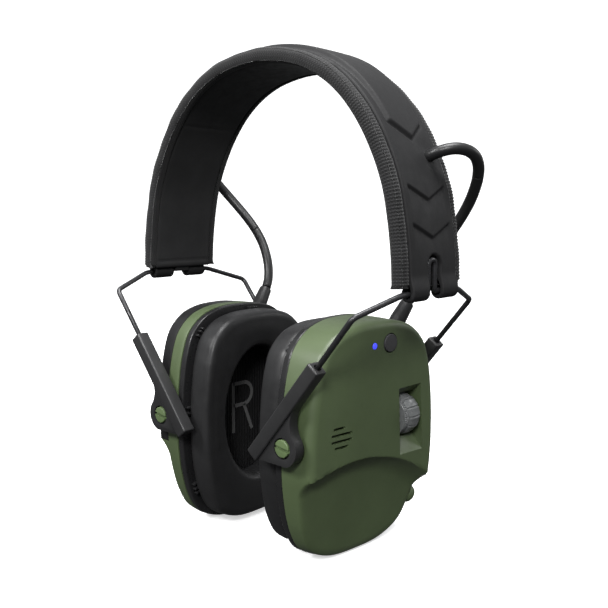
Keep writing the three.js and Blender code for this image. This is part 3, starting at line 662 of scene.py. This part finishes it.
def make_band_cover():
    """One moulded strip. Its ends are slotted and wrap round the wire in a front and a rear sleeve."""
    columns = np.r_[0, 0.015, 0.04, 0.07, np.linspace(0.11, 0.89, 27), 0.93, 0.96, 0.985, 1.0]
    plain_columns = 0.55 * np.linspace(0, 1, len(columns)) + 0.45 * columns
    rows = cover_rows()
    top, low = [], []
    for at, edge in rows:
        y = edge + (COVER_HALF - edge) * (columns if edge > 0 else plain_columns)
        (rear_top, rear_low), (front_top, front_low) = (cover_row(at, y, side) for side in (1, -1))
        top.append(np.vstack([rear_top[::-1], front_top]))
        low.append(np.vstack([rear_low[::-1], front_low]))
    points = np.vstack(top + low)
    n, m = len(rows), len(columns)
    width = 2 * m
    cell = lambda layer, i, j: layer * n * width + i * width + j
    faces = []
    for i in range(n - 1):
        slotted = rows[i][1] > 0 or rows[i + 1][1] > 0
        for j in range(width - 1):
            if not (slotted and j == m - 1):
                around = ((i, j), (i, j + 1), (i + 1, j + 1), (i + 1, j))
                faces += [tuple(cell(layer, *spot) for spot in around) for layer in (0, 1)]
        for j in (0, width - 1, *((m - 1, m) if slotted else ())):
            faces.append((cell(0, i, j), cell(0, i + 1, j), cell(1, i + 1, j), cell(1, i, j)))
    for j in range(width - 1):
        if j != m - 1:
            faces.append((cell(0, 0, j), cell(0, 0, j + 1), cell(1, 0, j + 1), cell(1, 0, j)))
    faces += [tuple(v + len(points) for v in reversed(f)) for f in faces]
    cover = mesh_object("band_cover", np.vstack([points, points * (-1, 1, 1)]), faces)
    bm = bmesh.new()
    bm.from_mesh(cover.data)
    bmesh.ops.remove_doubles(bm, verts=bm.verts, dist=0.004 * MM)
    bmesh.ops.dissolve_degenerate(bm, edges=bm.edges, dist=0.001 * MM)
    bmesh.ops.recalc_face_normals(bm, faces=bm.faces)
    bm.to_mesh(cover.data)
    bm.free()
    crease(cover, 60)
    return finish_piece(cover, "cover_rubber", "headband", "band_cover")


def make_tongue(side_name, side):
    """The end of the band's inner web, seen through the cover's slot behind the wire's loop."""
    web = lambda s, h: [tuple(p) for p in on_band(s, np.array([-4.2, 4.2]), h)]
    rings = []
    for s in np.linspace(-0.6, 9, 14):
        (a, b), (c, d) = web(s, -0.75), web(s, -2.3)
        rings.append(flipped([a, b, d, c], side))
    tongue = bevelled(loft(f"{side_name}_web_tongue", rings, smooth=False), 0.3, 2, 50)
    crease(tongue, 40)
    finish_piece(tongue, "band_fabric", "headband", material="cover_rubber")


make_band_pad()
for side_name, side in SIDES.items():
    make_tongue(side_name, side)
make_band_liner()
make_band_cover()


# ---------------------------------------------------------------- yokes, arms and screws
LEG_ACROSS = np.array([-LEG[2], 0, LEG[0]])
LEG_Y, WIRE_R = 40.0, 1.1
HAIRPIN_HALF, HAIRPIN_RISE, CLIP_HALF = 2.3, 12.0, 19.0
BEND = np.array([68.1, 0, CLIP_Z - 6.7])
LEG_OUT, LEG_IN, ARM_LENGTH = 25.0, 26.0, 50.0
ARM_IN, ARM_OUT, EYE_OUT, ARM_HALF = 37.2, 43.0, 41.8, 2.9
EYE_ALONG, EYE_ACROSS, EYE_R = 35.8, 8.4, 7.2


def make_yoke(side_name, side):
    leg = lambda end: BEND + (0, end * LEG_Y, 0) + LEG * (LEG_OUT + LEG_IN)
    clip = lambda y, z=0.0: np.array([CLIP_X, y, CLIP_Z + z])
    half = [leg(1), BEND + (0, LEG_Y, 0), clip(CLIP_HALF), clip(HAIRPIN_HALF),
            clip(HAIRPIN_HALF, HAIRPIN_RISE)]
    corners = [p * (1, -1, 1) for p in half] + half[::-1]
    path = flipped(fillet(corners, 2.25, 8), side)
    wire = tube(f"{side_name}_yoke_wire", path, WIRE_R, 18)
    finish_piece(wire, "black_wire", f"{side_name}_yoke", f"{side_name}_yoke_wire")


def arm_outline():
    """The arm in its own plane: u down the leg from its top, v towards the cup's outer face."""
    u, v, r = EYE_ALONG, EYE_ACROSS, EYE_R
    arc = [(u + r * math.cos(a), v + r * math.sin(a)) for a in np.linspace(0.95, 2.75, 22)]
    p, q, c = np.array(arc[-1]), np.array([u - r - 8, ARM_HALF]), np.array([u - r - 1, ARM_HALF + 1.6])
    web = corner(p, c, q, 8)[1:]
    low = [(3, -ARM_HALF + 0.4), (ARM_LENGTH - 1.2, -ARM_HALF + 0.2), (ARM_LENGTH - 0.2, -ARM_HALF + 1.2),
           (ARM_LENGTH - 0.2, ARM_HALF - 1.2)]
    return low + arc + [tuple(w) for w in web] + [(3, ARM_HALF - 0.4)]


def make_arm(side_name, side, end_name, end):
    top = BEND + LEG * LEG_OUT
    at = lambda u, v, y: np.array([top + LEG * a + LEG_ACROSS * b for a, b in zip(u, v)]) + (0, end * y, 0)

    def slab(outline, y0, y1, name):
        u, v = zip(*outline)
        return loft(name, [flipped(at(u, v, y0), side), flipped(at(u, v, y1), side)], smooth=False)

    name = f"{side_name}_{end_name}_arm"
    plate = slab(arm_outline(), ARM_IN + 0.15, EYE_OUT, name)
    h = ARM_HALF
    bar = slab([(0, -h), (ARM_LENGTH, -h), (ARM_LENGTH, h), (0, h)], ARM_IN, ARM_OUT, "bar")
    bevelled(bar, 0.7, 4)
    boolean(plate, bar, "UNION")
    pivot = np.array([side * PIVOT_X, 0, PIVOT_Z])
    away = np.array([0, end, 0])
    bore(plate, 4.15, EYE_OUT - 2.1, EYE_OUT + 3, pivot, away, 48)
    bore(plate, 2.55, 30, 50, pivot, away, 48)
    mouth = flipped(top + (0, end * LEG_Y, 0), side)
    bore(plate, 1.55, -2, LEG_IN + 20.5, mouth, flipped(LEG, side), 24)
    bevelled(plate, 0.42, 3, 40)
    crease(plate, 42)
    finish_piece(plate, "arm_nylon", f"{side_name}_slider", name)


def make_screw(side_name, side, end_name, end):
    name = f"{side_name}_{end_name}_screw"
    profile = rounded([(0.02, 33, 0), (2.2, 33, 0), (2.2, 40, 0), (3.5, 40, 0), (3.5, 42.1, 0.45),
                       (0.02, 42.25, 0)], 4)
    pivot = np.array([side * PIVOT_X, 0, PIVOT_Z])
    screw = turned(name, profile, pivot, (0, end, 0), 56)
    slot = block("slot", (-5, 41.0, -0.6), (5, 44, 0.6))
    slot.data.transform(Matrix.Rotation(math.radians(-9), 4, "Y"))
    if end < 0:
        slot.data.transform(Matrix.Rotation(math.pi, 4, "X"))
    slot.data.transform(Matrix.Translation(Vector(pivot) * MM))
    boolean(screw, slot)
    crease(screw, 40)
    finish_piece(screw, "olive_screw", f"{side_name}_cup", name)


for side_name, side in SIDES.items():
    make_yoke(side_name, side)
    for end_name, end in ENDS.items():
        make_arm(side_name, side, end_name, end)
        make_screw(side_name, side, end_name, end)


# ---------------------------------------------------------------- cups
# The cup's outline at its widest, as y and height above the fold axis.
CUP_HALF = [(0, -13), (12, -13.7), (22, -16.8), (29.6, -23.5), (33.4, -33), (35.5, -45), (36.5, -60),
            (36.3, -73), (34.8, -85), (31.6, -96.5), (26, -105.5), (15, -110.8), (0, -112)]
SHELL_X, FACE_X, SLOPE, WALL = 31.3, 50.6, 0.12, 2.2
CUP_MID = -61.5
EAR_HOLE = (21.0, 30.0)
ARC_Y, ARC_Z, ARC_R = -11.0, -138.3, 70.0
RECESS_DEPTH, RECESS_FALL, RECESS_REACH = 5.0, 0.11, 7.5
EDGE_R, DRAFT = 3.5, 0.6           # rounding at the shell's outer face, and how far its side draws in
SLOPE_REACH = 16.0                 # the depth over which the outer face's slope comes in
FACE_RINGS = 64
full = CUP_HALF + [(-y, z) for y, z in CUP_HALF[-2:0:-1]]


def cup_outline(count):
    """The cup's outline as y, height above the fold axis, with its inward normals."""
    p = spline(full, count, wrapped=True)
    t = np.roll(p, -1, axis=0) - np.roll(p, 1, axis=0)
    t /= np.linalg.norm(t, axis=1)[:, None]
    return p, np.stack([t[:, 1], -t[:, 0]], 1)


def recess(y, z):
    """How far the outer face stands back below the arc: a curved step, then a steady fall."""
    inside = ARC_R - np.hypot(y - ARC_Y, z - ARC_Z)
    fall = RECESS_FALL * np.clip(ARC_Z + ARC_R - z, 0, None) * smoothstep(inside, 0, 8)
    hollow = 1 - (1 - np.clip(inside / RECESS_REACH, 0, 1)) ** 2.4
    return RECESS_DEPTH * hollow * smoothstep(inside, -0.3, 0.9) + fall


def shell_rings(thinner, count, side, start):
    """The shell's outer surface as rings from its open edge to the middle of its face."""
    outline, inward = cup_outline(count)
    profile = [(start, 0), (35, 0.1), (40, 0.25), (43.5, 0.45)]
    for a in np.linspace(0, math.pi / 2, 11):
        profile.append((FACE_X - EDGE_R * (1 - math.sin(a)), DRAFT + EDGE_R * (1 - math.cos(a))))
    profile += [(FACE_X, DRAFT + EDGE_R + more) for more in (1, 2.2, 3.6)]
    rings = [(x, SLOPE * min(1, (x - SHELL_X) / SLOPE_REACH), outline + inward * (inset + thinner))
             for x, inset in profile]
    x, lift, last = rings[-1]
    centre = np.array([0, CUP_MID])
    rings += [(x, lift, centre + (last - centre) * max(share, 0.004))
              for share in np.linspace(1, 0, FACE_RINGS)[1:]]
    out = []
    for x, lift, p in rings:
        y, z = p[:, 0], p[:, 1]
        face = FACE_X + SLOPE * y
        factor = (face - recess(y, z) - SHELL_X) / (face - SHELL_X)
        level = SHELL_X + (x + lift * y - SHELL_X) * np.where(x > SHELL_X, factor, 1)
        level = level - thinner * smoothstep(x, SHELL_X + 2, 46)
        out.append(flipped(np.stack([level, y, z + CLIP_Z], 1), side))
    return out


def shell_solid(name, thinner, count, side, start=SHELL_X):
    return loft(name, shell_rings(thinner, count, side, start))


OUT = np.array([1, -SLOPE, 0]) / math.hypot(1, SLOPE)     # square to the left cup's outer face
face_point = lambda y, z: np.array([FACE_X + SLOPE * y, y, CLIP_Z + z])
BUTTON, LENS = (6.6, -23.0, 3.65), (-2.4, -23.4, 1.25)    # y, height above the fold axis, radius
MIC_AT = (-20.5, -57.4)
# Each slot's height above the microphone, half length and shift along Y.
MIC_SLOTS = [(3.85, 3.2, -1.0), (1.28, 5.6, 0.4), (-1.28, 5.6, 0.4), (-3.85, 3.8, 0.2)]
MIC_ROUND, MIC_TALL = 0.42, 0.55   # a slot's rounding and half its height
KNOB_AT = np.array([46.5, 0, CLIP_Z - 55.7])
KNOB_RING, KNOB_DRUM = 8.0, 9.0    # the wheel's two radii
KNURLS, STAVES = 60, 13            # teeth on its ring, grooves on its drum
POCKET_CORNERS = [(13.8, -71.4), (28, -71.4), (26, -42.3), (12.4, -42.8)]
POCKET_FUNNEL = 4.5
SLOT_Y, SLOT_Z, SLOT_FLOOR = (13.5, 27.3), (-65.3, -46.2), 36.9
PLUG_AT, PLUG_R = np.array([42, 32.4, CLIP_Z - 94.8]), 4.1
PLUG_WAY = np.array(joints["plug_pull"]["axis"])
RELIEF_WAY = np.array([0.12, 0.62, 0.78]) / np.linalg.norm([0.12, 0.62, 0.78])
RELIEF_TOP = np.array([42.8, 31, CLIP_Z - 9.5])
RELIEF_BORE, RELIEF_DEEP = 3.8, 17.0


def pocket(name, grow):
    """The thumb pocket: walls that slope from the face to an upright slot for the volume wheel."""
    def ring(corners, level):
        shifts = zip(corners, ((-1, -1), (1, -1), (1, 1), (-1, 1)))
        spots = [(y + grow * a, z + grow * b) for (y, z), (a, b) in shifts]
        return [(level(y), y, z + CLIP_Z) for y, z in spots]
    slot = [(SLOT_Y[0], SLOT_Z[0]), (SLOT_Y[1], SLOT_Z[0]), (SLOT_Y[1], SLOT_Z[1]), (SLOT_Y[0], SLOT_Z[1])]
    mouth = FACE_X - POCKET_FUNNEL - grow / 2
    rings = [ring(slot, lambda y: SLOT_FLOOR - grow), ring(slot, lambda y: mouth + SLOPE * y),
             ring(POCKET_CORNERS, lambda y: FACE_X + 0.05 + SLOPE * y),
             ring(POCKET_CORNERS, lambda y: FACE_X + 12)]
    return loft(name, rings, smooth=False)


def drill_shell(shell, side):
    """Holes for the pivot screws and the strain relief."""
    for end in ENDS.values():
        bore(shell, 2.5, 30, 45, (side * PIVOT_X, 0, PIVOT_Z), (0, end, 0))
    bore(shell, RELIEF_BORE, -RELIEF_DEEP, 0, flipped(RELIEF_TOP, side), flipped(RELIEF_WAY, side))


def make_left_shell():
    shell = shell_solid("left_shell", 0, 256, 1)
    hollow = shell_solid("hollow", WALL, 96, 1, start=SHELL_X - 3)
    boolean(hollow, pocket("housing", WALL * 0.9))
    boolean(shell, hollow)
    boolean(shell, pocket("pocket", 0))
    drill_shell(shell, 1)
    for (y, z, r), clear in ((BUTTON, 0.45), (LENS, 0.15)):
        bore(shell, r + clear, -6, 4, face_point(y, z), OUT, 40)
    bore(shell, 2.9, 9, 15, KNOB_AT, (0, 1, 0))
    bore(shell, PLUG_R - 0.9, -8, 8, PLUG_AT, PLUG_WAY)
    bore(shell, PLUG_R + 0.25, 0.3, 10, PLUG_AT, PLUG_WAY)
    for height, half, shift in MIC_SLOTS:
        y, z = MIC_AT[0] + shift, MIC_AT[1] + height + CLIP_Z
        ends = [(y + e * (half - MIC_ROUND) + MIC_ROUND * math.cos(a), z + MIC_TALL * math.sin(a))
                for e in (1, -1) for a in np.linspace(0, math.pi, 7) - e * math.pi / 2]
        boolean(shell, loft("slit", [[(x, *p) for p in ends] for x in (40, 60)], smooth=False))
    crease(shell, 32)
    finish_piece(shell, "olive_shell", "left_cup", "left_shell")


def door_region(name, gap):
    """Where the battery door is: everything beyond its parting plane and above the arc."""
    r = ARC_R + gap
    low = [(ARC_Y + r * math.cos(a), ARC_Z + r * math.sin(a)) for a in np.linspace(2.45, 0.55, 60)]
    outline = low + [(60, 20), (-80, 20)]
    rings = [[(-x, y, z + CLIP_Z) for y, z in outline] for x in (38 + gap, 80)]
    return loft(name, rings, smooth=False)


def make_right_shell():
    for name, operation, gap in (("right_shell", "DIFFERENCE", 0.0), ("battery_door", "INTERSECT", 0.3)):
        shell = shell_solid(name, 0, 224, -1)
        boolean(shell, shell_solid("hollow", WALL, 96, -1, start=SHELL_X - 3))
        drill_shell(shell, -1)
        boolean(shell, door_region("region", gap), operation)
        bevelled(shell, 0.22, 2, 50)
        crease(shell, 34)
        if name == "battery_door":
            for slide in (2, 4, 6, 8):                   # room for the strain relief as the door comes off
                at = flipped(RELIEF_TOP - (slide, 0, 0), -1)
                bore(shell, RELIEF_BORE, -RELIEF_DEEP, 0, at, flipped(RELIEF_WAY, -1))
            crease(shell, 34)
            finish_piece(shell, "door_black", "battery_door", name)
        else:
            finish_piece(shell, "olive_shell", "right_cup", name)


def rim_and_opening(inset, hole, count):
    """Matching points of the cup's outline, drawn in, and of an oval opening, with their angles."""
    outline, inward = cup_outline(count)
    outer = outline + inward * inset
    angle = np.arctan2((outer[:, 1] - CUP_MID) / hole[1], outer[:, 0] / hole[0])
    return outer, np.stack([hole[0] * np.cos(angle), CUP_MID + hole[1] * np.sin(angle)], 1), angle


def ring_piece(name, x0, x1, inset, hole, side, edge, count=192):
    """A flat ring that follows the cup's outline, with rounded edges and an oval opening."""
    outer, inner, _ = rim_and_opening(inset, hole, count)
    rings = []
    for k in range(count):
        reach = np.linalg.norm(inner[k] - outer[k])
        ring = []
        for a, x in section_for(x0, x1, edge, reach):
            p = outer[k] + (inner[k] - outer[k]) * a
            ring.append((x, p[0], p[1] + CLIP_Z))
        rings.append(flipped(ring, side))
    return loft(name, rings, wrapped=True)


def section_for(x0, x1, edge, reach):
    """A rounded bar's section: share of the way to the opening, x."""
    e = edge / reach
    corners = [((e, x0), (0, x0), (0, x0 + edge)), ((0, x1 - edge), (0, x1), (e, x1)),
               ((1 - e, x1), (1, x1), (1, x1 - edge)), ((1, x0 + edge), (1, x0), (1 - e, x0))]
    out = []
    for a, b, c in corners:
        out += corner(a, b, c, 4)
    return out


CUSHION_FACE, CUSHION_BACK, CUSHION_INSET = 15.0, 26.1, 2.4


def make_cushion(side_name, side):
    """The ear cushion: foam in a soft skin, rounded at its rim and rolled in round the ear opening."""
    face, back = CUSHION_FACE, CUSHION_BACK
    # Distance from the outline, share of the way to the ear opening, x.
    section = [(2.4, 0, back), (0.7, 0, back - 0.25), (0, 0, back - 1.6), (-0.15, 0, (face + back) / 2),
               (0, 0, face + 3.8), (0.3, 0, face + 2), (1.2, 0, face + 0.75), (2.7, 0, face + 0.15),
               (4.6, 0, face - 0.05), (0, 0.5, face - 0.3), (-4.4, 1, face - 0.05), (-2.1, 1, face + 0.35),
               (-0.7, 1, face + 1.5), (0, 1, face + 3.4), (0, 1, back)]
    outer, inner, angle = rim_and_opening(CUSHION_INSET, EAR_HOLE, 240)
    rings = []
    for k in range(len(outer)):
        way = inner[k] - outer[k]
        reach = np.linalg.norm(way)
        flat = spline([(mm + share * reach, x) for mm, share, x in section], 64)
        seam = np.exp(-((flat[:, 0] - reach) / 1.5) ** 2)
        pucker = 0.12 * seam * math.sin(angle[k] * 44) + 0.05 * seam * math.sin(angle[k] * 17 + 1)
        middle = np.exp(-((flat[:, 0] / reach - 0.5) / 0.25) ** 2)
        soft = 0.10 * middle * math.sin(angle[k] * 3) + 0.05 * middle * math.sin(angle[k] * 8 + 1)
        spot = outer[k] + np.outer((flat[:, 0] + pucker) / reach, way)
        rings.append(flipped(np.stack([flat[:, 1] + soft, spot[:, 0], spot[:, 1] + CLIP_Z], 1), side))
    cushion = loft(f"{side_name}_cushion", rings, wrapped=True)
    finish_piece(cushion, "cushion_leather", f"{side_name}_cup", f"{side_name}_cushion")


VENT_PLACES = (0.02, 0.105, 0.235, 0.36, 0.475, 0.53, 0.64, 0.765, 0.895)     # along the cup's outline
RIB = {"width": 0.9, "pitch": 2.3, "x": (25.9, 28.1), "inset": (1.5, 4.8)}


def make_vent_ribs(side_name, side):
    """Groups of three small ribs that bridge the gap between the cushion and the base ring."""
    outline, inward = cup_outline(480)
    around = np.linalg.norm(np.diff(outline, axis=0), axis=1).sum()
    points, faces = [], []
    for place in VENT_PLACES:
        for step in (-1, 0, 1):
            k = int(round((place + step * RIB["pitch"] / around) * len(outline))) % len(outline)
            along = np.array([inward[k][1], -inward[k][0]]) * RIB["width"] / 2
            first = len(points)
            for x in RIB["x"]:
                for inset, way in ((0, -1), (0, 1), (1, 1), (1, -1)):
                    spot = outline[k] + inward[k] * RIB["inset"][inset] + along * way
                    points.append((side * x, spot[0], spot[1] + CLIP_Z))
            a = first
            faces += [(a, a + 1, a + 2, a + 3), (a + 4, a + 7, a + 6, a + 5)]
            faces += [(a + i, a + 4 + i, a + 4 + (i + 1) % 4, a + (i + 1) % 4) for i in range(4)]
    ribs = bevelled(mesh_object(f"{side_name}_vent_ribs", points, faces, smooth=False), 0.18, 2)
    finish_piece(ribs, "black_plastic", f"{side_name}_cup")


LETTER_X, LETTER_STROKE = (27.75, 28.0), 1.7


def make_letter(side_name, side, strokes):
    """A generic side letter printed on the foam, drawn with strokes of one width."""
    points, faces = [], []
    for stroke in strokes:
        line = np.asarray(stroke, float)
        t = np.gradient(line, axis=0)
        t /= np.linalg.norm(t, axis=1)[:, None]
        n = np.stack([-t[:, 1], t[:, 0]], 1) * LETTER_STROKE / 2
        first = len(points)
        for p, q in zip(line + n, line - n):
            for x in LETTER_X:
                points += [(side * x, y, z + CUP_MID + CLIP_Z) for y, z in (p, q)]
        for k in range(len(line) - 1):
            a, b = first + 4 * k, first + 4 * k + 4
            faces += [(a, a + 1, b + 1, b), (a + 2, b + 2, b + 3, a + 3)]
            faces += [(a, b, b + 2, a + 2), (a + 1, a + 3, b + 3, b + 1)]
        for a in (first, first + 4 * (len(line) - 1)):
            faces.append((a, a + 2, a + 3, a + 1))
    letter = mesh_object(f"{side_name}_letter", points, faces, smooth=False)
    finish_piece(letter, "ear_foam", f"{side_name}_cup", material="side_mark")


def letter_strokes(side_name):
    """The strokes of L or R, as y and height from the cup's middle."""
    half_width, half_height, trim = 6.0, 12.0, LETTER_STROKE / 2
    upright = lambda y: even([(y, half_height), (y, -half_height)], 6)
    if side_name == "left":
        foot = trim - half_height
        return [upright(half_width), even([(half_width + trim, foot), (-half_width, foot)], 6)]
    turn = np.linspace(math.pi / 2, -math.pi / 2, 16)
    bowl = [(1 + 5 * math.cos(a), half_height / 2 + 5.15 * math.sin(a)) for a in turn]
    bowl = [(-half_width, half_height - trim), (-3, half_height - trim), *bowl, (-3, trim),
            (-half_width, trim)]
    return [upright(-half_width), even(bowl, 40), even([(0.8, trim), (half_width, -half_height)], 8)]


def make_cup_common(side_name, side):
    body = f"{side_name}_cup"
    base = ring_piece(f"{side_name}_base_ring", 27.9, 31.05, 0.05, (25, 35), side, 0.7)
    finish_piece(base, "black_plastic", body, f"{side_name}_base_ring")
    plate = ring_piece(f"{side_name}_cushion_plate", 26.4, 27.6, 4.2, (22.5, 31.5), side, 0.3)
    finish_piece(plate, "black_plastic", body, f"{side_name}_cushion_plate")
    make_cushion(side_name, side)
    make_vent_ribs(side_name, side)
    make_letter(side_name, side, letter_strokes(side_name))
    at = flipped(RELIEF_TOP - RELIEF_WAY * 14, side)
    profile = rounded([(0.02, 0, 0), (3.4, 0, 0), (3.5, 5.8, 0.5), (2.95, 14, 0.5), (2.4, 14.1, 0)], 4)
    name = f"{side_name}_strain_relief_sleeve"
    relief = turned(name, profile + [(0.02, 14.1)], at, flipped(RELIEF_WAY, side), 40)
    crease(relief, 50)
    finish_piece(relief, "cable_rubber", body, f"{side_name}_strain_relief")


make_left_shell()
make_right_shell()
for side_name, side in SIDES.items():
    make_cup_common(side_name, side)


# ---------------------------------------------------------------- controls
def make_knob():
    """A thumb wheel: a finely knurled ring in front and a barrel of staves behind it."""
    ring, drum = KNOB_RING, KNOB_DRUM
    profile = rounded([(0.02, 11.6, 0), (2.5, 11.6, 0), (2.5, 13.9, 0), (ring, 13.9, 0.25),
                       (ring, 16.8, 0.2), (ring - 0.5, 17.0, 0.2), (drum - 0.3, 18.2, 1.0),
                       (drum, 20.6, 1.2), (drum - 0.3, 23.4, 1.0), (drum - 1.1, 25.2, 0.8),
                       (drum - 3.2, 26.4, 0.6), (1.5, 26.8, 0), (0.02, 26.8, 0)], 5)

    def wave(a, r, d):
        if 14.0 < d < 16.75 and r > ring - 0.4:
            return r - 0.3 * abs(math.sin(a * KNURLS / 2))
        if d > 17.2 and r > 2:
            off = abs((a * STAVES / (2 * math.pi) + 0.5) % 1 - 0.5) / STAVES * 2 * math.pi * r
            groove = 0.55 * math.exp(-(off / 0.28) ** 2) * smoothstep(r, 2, 5)
            return r - groove + 0.12 * math.cos(a * STAVES) * smoothstep(r, 4, 8)
        return r

    dense = []
    for (r0, d0), (r1, d1) in zip(profile, profile[1:]):
        steps = max(1, int(math.hypot(r1 - r0, d1 - d0) / 0.5))
        dense += [(r0 + (r1 - r0) * t / steps, d0 + (d1 - d0) * t / steps) for t in range(steps)]
    knob = turned("volume_knob", dense + [profile[-1]], KNOB_AT, (0, 1, 0), 390, wave)
    crease(knob, 40)
    finish_piece(knob, "knob_grey", "volume_knob", "volume_knob")


def make_button_and_lens():
    y, z, r = BUTTON
    profile = rounded([(0.02, -4.6, 0), (1.6, -4.6, 0), (1.6, -2.6, 0), (r, -2.6, 0), (r, 0.5, 0.35),
                       (0.02, 0.42, 0)], 4)
    button = turned("power_button", profile, face_point(y, z), OUT, 64)
    crease(button, 45)
    finish_piece(button, "button_grey", "power_button", "power_button")
    y, z, r = LENS
    profile = rounded([(0.02, -3.4, 0), (r, -3.4, 0), (r, 0.05, 0.25), (0.02, 0.3, 0)], 4)
    lens = turned("status_lens", profile, face_point(y, z), OUT, 40)
    finish_piece(lens, "blue_lens", "left_cup", "status_lens")


def make_plug():
    r = PLUG_R
    profile = rounded([(0.02, -3, 0), (r - 1.3, -3, 0), (r - 1.3, 0.5, 0), (r, 0.5, 0.2), (r, 2.6, 1.2),
                       (r - 1.2, 4.2, 1.2), (0.02, 4.6, 0)], 5)
    plug = turned("port_plug", profile, PLUG_AT, PLUG_WAY, 48)
    crease(plug, 50)
    finish_piece(plug, "olive_shell", "port_plug", "port_plug")


make_knob()
make_button_and_lens()
make_plug()

# Inner pieces whose CAD shape is already right take their finish directly.
for row in frame["record"]["subparts"]:
    node = frame["nodes"][row["node"]]
    if not node.hide_render:
        node.data.materials.clear()
        node.data.materials.append(finishes[row["material_slot"]])


# ---------------------------------------------------------------- stage and light
FLOOR_GAP = 0.0005                 # in metres, as are all lengths of the stage and the lights
STAGE_HALF, STAGE_BACK, STAGE_BEND = 3.0, 1.6, 0.5
SURROUND_R, SURROUND_TOP = 2.5, 3.0


def make_stage():
    """A pale floor that curves up behind the object, with a pale wall all round for other views."""
    floor_z = cad_box[0][2] - FLOOR_GAP
    start = STAGE_BACK - STAGE_BEND
    curve = [(start + STAGE_BEND * math.sin(a), floor_z + STAGE_BEND * (1 - math.cos(a)))
             for a in np.linspace(0.15, 1.57, 12)]
    rows = [(-STAGE_HALF, floor_z), (start, floor_z), *curve, (STAGE_BACK, floor_z + STAGE_HALF)]
    turn = math.radians(CAMERA["azimuth"])
    points = []
    for depth, z in rows:
        for across in (-STAGE_HALF, STAGE_HALF):
            x = across * math.cos(turn) - depth * math.sin(turn)
            y = across * math.sin(turn) + depth * math.cos(turn)
            points.append((x / MM, y / MM, z / MM))
    faces = [(2 * k, 2 * k + 1, 2 * k + 3, 2 * k + 2) for k in range(len(rows) - 1)]
    sweep = mesh_object("backdrop", points, faces)
    wall = [(0, 0, floor_z / MM + 1), (0, 0, SURROUND_TOP / MM)]
    surround = tube("surround", wall, SURROUND_R / MM, 64, capped=False)
    surround.visible_shadow = False
    n = Nodes("backdrop")
    n.base(n.noise(3, 2), (0.86, 0.86, 0.86), 1, 0.90 / 0.86)
    n.fixed(roughness=0.9, specular_ior_level=0.1, emission_color=(1, 1, 1, 1), emission_strength=0.55)
    for piece in (sweep, surround):
        piece.data.materials.append(n.material)
        piece.visible_diffuse = piece.visible_glossy = False


def make_light(name, right, forward, up, size, power):
    """A soft square light placed in the camera's own directions, in metres from the object's middle."""
    turn = math.radians(CAMERA["azimuth"])
    to_right = Vector((math.cos(turn), math.sin(turn), 0))
    to_camera = Vector((math.sin(turn), -math.cos(turn), 0))
    middle = Vector((0, 0, -0.1))
    data = bpy.data.lights.new(name, "AREA")
    data.shape, data.size, data.energy = "SQUARE", size, power
    lamp = bpy.data.objects.new(name, data)
    lamp.location = middle + to_right * right + to_camera * forward + Vector((0, 0, up))
    lamp.rotation_euler = (middle - lamp.location).to_track_quat("-Z", "Y").to_euler()
    bpy.context.scene.collection.objects.link(lamp)


make_stage()
make_light("top", 0.05, 0.12, 0.95, 0.55, 19)
make_light("key", -0.70, 0.45, 0.60, 0.25, 8)
make_light("front", -0.15, 1.05, 0.62, 0.22, 12)
make_light("rim", 0.95, -0.25, 0.40, 0.30, 1.0)


def make_world():
    """A dim sky, brighter towards the top."""
    world = bpy.data.worlds.new("studio")
    world.use_nodes = True
    sky = world.node_tree
    height = sky.nodes.new("ShaderNodeSeparateXYZ")
    sky.links.new(sky.nodes.new("ShaderNodeTexCoord").outputs["Generated"], height.inputs["Vector"])
    fade = sky.nodes.new("ShaderNodeMapRange")
    for key, value in {"From Min": -0.3, "From Max": 0.9, "To Min": 0.09, "To Max": 0.72}.items():
        fade.inputs[key].default_value = value
    sky.links.new(height.outputs["Z"], fade.inputs["Value"])
    sky.links.new(fade.outputs["Result"], sky.nodes["Background"].inputs["Strength"])
    sky.nodes["Background"].inputs["Color"].default_value = (0.97, 0.98, 1.0, 1)
    bpy.context.scene.world = world


make_world()
bpy.context.scene.view_settings.view_transform = "Standard"
